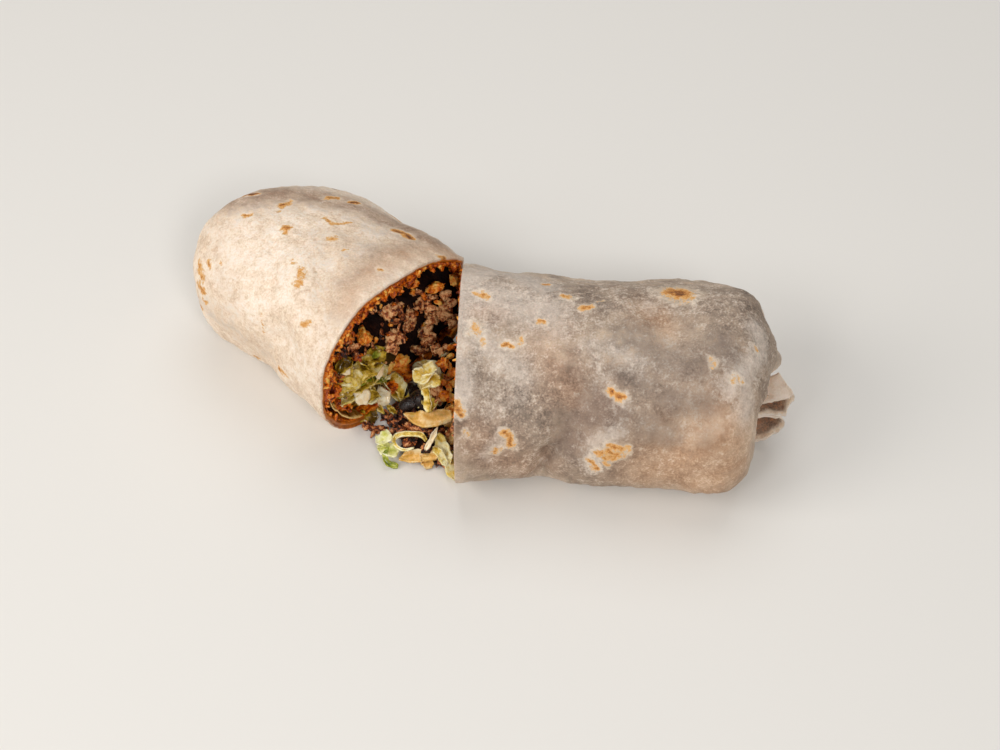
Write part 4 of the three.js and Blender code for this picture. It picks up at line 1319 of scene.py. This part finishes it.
def lay_strips(pile, ground, strips, lift, ruffle):
    """Lays strips of leaf through picture points, and gives the points that they run through."""
    reached = []
    for path, width, curl, tints in strips:
        route = ground.path(path, lift)
        reached.extend(route)
        pile.ribbon(route, width, TO_CAMERA, curl=curl, tints=tints, ruffle=ruffle)
    return reached


def fill_left(roll, face, ground):
    beef, cheese, lettuce, onion, green = Pile(5), Pile(6), Pile(7), Pile(8), Pile(9)
    taken = []
    for x, y, wide, high, tint in BEEF_LEFT:
        forward = smoothstep(*FORWARD, x)
        at = ground.land(x, y, 0.25 * min(wide, high) + BEEF_FORWARD * forward)
        taken.append(at)
        # pieces nearer the right half are painted paler too: painted light where the cut lies in shade
        beef.clump(at, wide, high, min(tint + 0.15 + 0.3 * forward, 0.95))
    for x, y, wide, high, tint in CHEESE:
        at = ground.land(x, y, 0.45 * min(wide, high) + CHEESE_FORWARD * smoothstep(*FORWARD, x))
        taken.append(at)
        if tint < 0.5:
            cheese.clump(at, wide, high, tint)
        else:
            cheese.block(at + 1.5 * TO_CAMERA, wide, high, tint, rough=0.36, cuts=12)
    scatter_leaves(lettuce, ground, *LETTUCE_BED)
    taken += lay_strips(lettuce, ground, STRIPS_LEFT, 4.0, 1.3)
    for x, y, wide, high, tint in ONION:
        onion.block(ground.land(x, y, 7.5), wide, high, tint, rough=0.14, cuts=9, blunt=3.4)
    strew(beef, roll, face, taken, STREWN_BEEF_LEFT)
    strew(cheese, roll, face, taken, STREWN_CHEESE)
    lay_strips(green, ground, GREEN_LEFT, 4.0, 1.0)
    beef.finish("chopped_beef_left", "meat_left", "beef", "beef")
    cheese.finish("cheese_left", "rice_left", "rice", "rice")
    lettuce.finish("lettuce_strips_left", "lettuce_left", "lettuce", "lettuce")
    green.finish("green_strips_left", "lettuce_left", "lettuce", "green")
    onion.finish("onion_left", "lettuce_left", "lettuce", "onion")


def fill_right(roll, face, ground):
    beef, lettuce, fold = Pile(15), Pile(17), Pile(19)
    strew(beef, roll, face, [], STREWN_BEEF_RIGHT)
    lay_strips(lettuce, ground, STRIPS_RIGHT, 3.5, 1.1)
    scatter_leaves(lettuce, ground, *PALE_BED)
    route = ground.path(INNER_FOLD, 5.0)
    fold.ribbon(route, 4.6, TO_CAMERA, thick=TAIL_THICK, curl=0.8, tints=(0.85, 1.1), ruffle=1.0)
    beef.finish("chopped_beef_right", "meat_right", "beef", "beef")
    lettuce.finish("lettuce_strips_right", "lettuce_right", "lettuce", "lettuce")
    fold.finish("inner_fold_right", "tortilla_right", "tortilla", "oily")


def make_spill(ground):
    """Beef and beans over the heap, and the loose leaves."""
    beef, beans = Pile(25), Pile(26)
    for x, y, wide, high, tint in BEEF_SPILLED:
        beef.clump(ground.land(x, y, 0.2 * min(wide, high)), wide, high, tint - 0.25)
    for x, y, tint in BEANS:
        beans.bean(ground.land(x, y, 2.0), tint)
    beef.finish("beef_spilled", "meat_spilled", "beef", "beef")
    beans.finish("black_beans", "meat_spilled", "beef", "bean")
    for index, (node, (finish, ribbons)) in enumerate(LEAVES.items()):
        pile = Pile(40 + index)
        for path, width, facing, curl, tints in ribbons:
            route = [at_height(*point) for point in path]
            pile.ribbon(route, width, facing, curl=curl, tints=tints, ruffle=1.1, tip=(0.1, 0.6))
        pile.finish(f"fresh_{node}", node, "leaf", finish)


def make_fillings(rolls):
    # the filling behind the pieces and the spilled heap take the near-black painted shade
    core_painted_shade = core_painted_shade_finish()
    cores, faces = {}, {}
    for side, roll in rolls.items():
        hollows, greens = (HOLLOWS, GREENS_LEFT) if side == "left" else ([], [])
        cores[side], faces[side] = make_core(roll, f"packed_{side}", f"meat_{side}", core_painted_shade, hollows, greens)
        make_rice(roll, f"rice_lining_{side}", f"rice_{side}", 11 + roll.half["seed"])
    heap = make_heap_core("spilled_crumbs", "meat_spilled", core_painted_shade)
    ground = Ground([cores["left"], cores["right"], heap])
    fill_left(rolls["left"], faces["left"], ground)
    fill_right(rolls["right"], faces["right"], ground)
    make_spill(ground)


dough = tortilla_finish()
rolls = {"left": Roll(LEFT, RELIEF_LEFT), "right": Roll(RIGHT, RELIEF_RIGHT)}
make_tortilla(rolls["left"], "wrap_left", "tortilla_left", TOAST_LEFT, TONES_LEFT, dough)
make_tortilla(rolls["right"], "wrap_right", "tortilla_right", TOAST_RIGHT, TONES_RIGHT, dough)
make_inner_turn(rolls["left"])
make_tail(dough)
make_fillings(rolls)


# ---------------------------------------------------------------- floor, light and camera
# Lights: name, position and width in metres, power, colour.
LIGHTS = [
    ("window", (-0.95, -0.35, 0.75), 0.7, 6.7, (1, 0.97, 0.93)),
    ("top fill", (0.1, 0.5, 1.1), 0.9, 4.2, (1, 1, 1)),
    ("front fill", (0.3, -1.05, 1), 0.3, 6.2, (1, 1, 1)),
    ("left front fill", (-0.5, -0.85, 0.85), 0.3, 2.3, (1, 1, 1)),
]
ROOM_COLOUR = (1, 0.98, 0.95, 1)
ROOM_LIGHT = 0.3
FLOOR_COLOUR = (226, 223, 218)


def make_stage():
    bm = bmesh.new()
    bmesh.ops.create_grid(bm, x_segments=1, y_segments=1, size=3)
    mesh = bpy.data.meshes.new("floor")
    bm.to_mesh(mesh)
    bm.free()
    f = Finish("pale floor", roughness=0.7)
    f.set("Base Color", rgb(*FLOOR_COLOUR))
    mesh.materials.append(f.material)
    floor = add_object("floor", mesh)


def soft_light(name, position, size, power, colour):
    """A square soft light that points at the burrito."""
    light = bpy.data.lights.new(name, "AREA")
    light.size = size
    light.energy = power
    light.color = colour
    lamp = add_object(name, light)
    lamp.location = position
    lamp.rotation_euler = (-Vector(position)).to_track_quat("-Z", "Y").to_euler()


def make_lights():
    for light in LIGHTS:
        soft_light(*light)
    world = bpy.data.worlds.new("room")
    world.use_nodes = True
    background = world.node_tree.nodes["Background"].inputs
    background["Color"].default_value = ROOM_COLOUR
    background["Strength"].default_value = ROOM_LIGHT
    bpy.context.scene.world = world
    bpy.context.scene.view_settings.view_transform = "Standard"


def make_camera():
    lens = bpy.data.cameras.new("camera")
    lens.lens = LENS
    lens.sensor_width = SENSOR
    lens.clip_start = 0.01
    camera = add_object("camera", lens)
    camera.location = Vector(CAMERA) * MM
    camera.rotation_euler = (math.pi / 2 - ELEVATION, 0, 0)
    bpy.context.scene.camera = camera


make_stage()
make_lights()
make_camera()

bpy.context.view_layer.update()
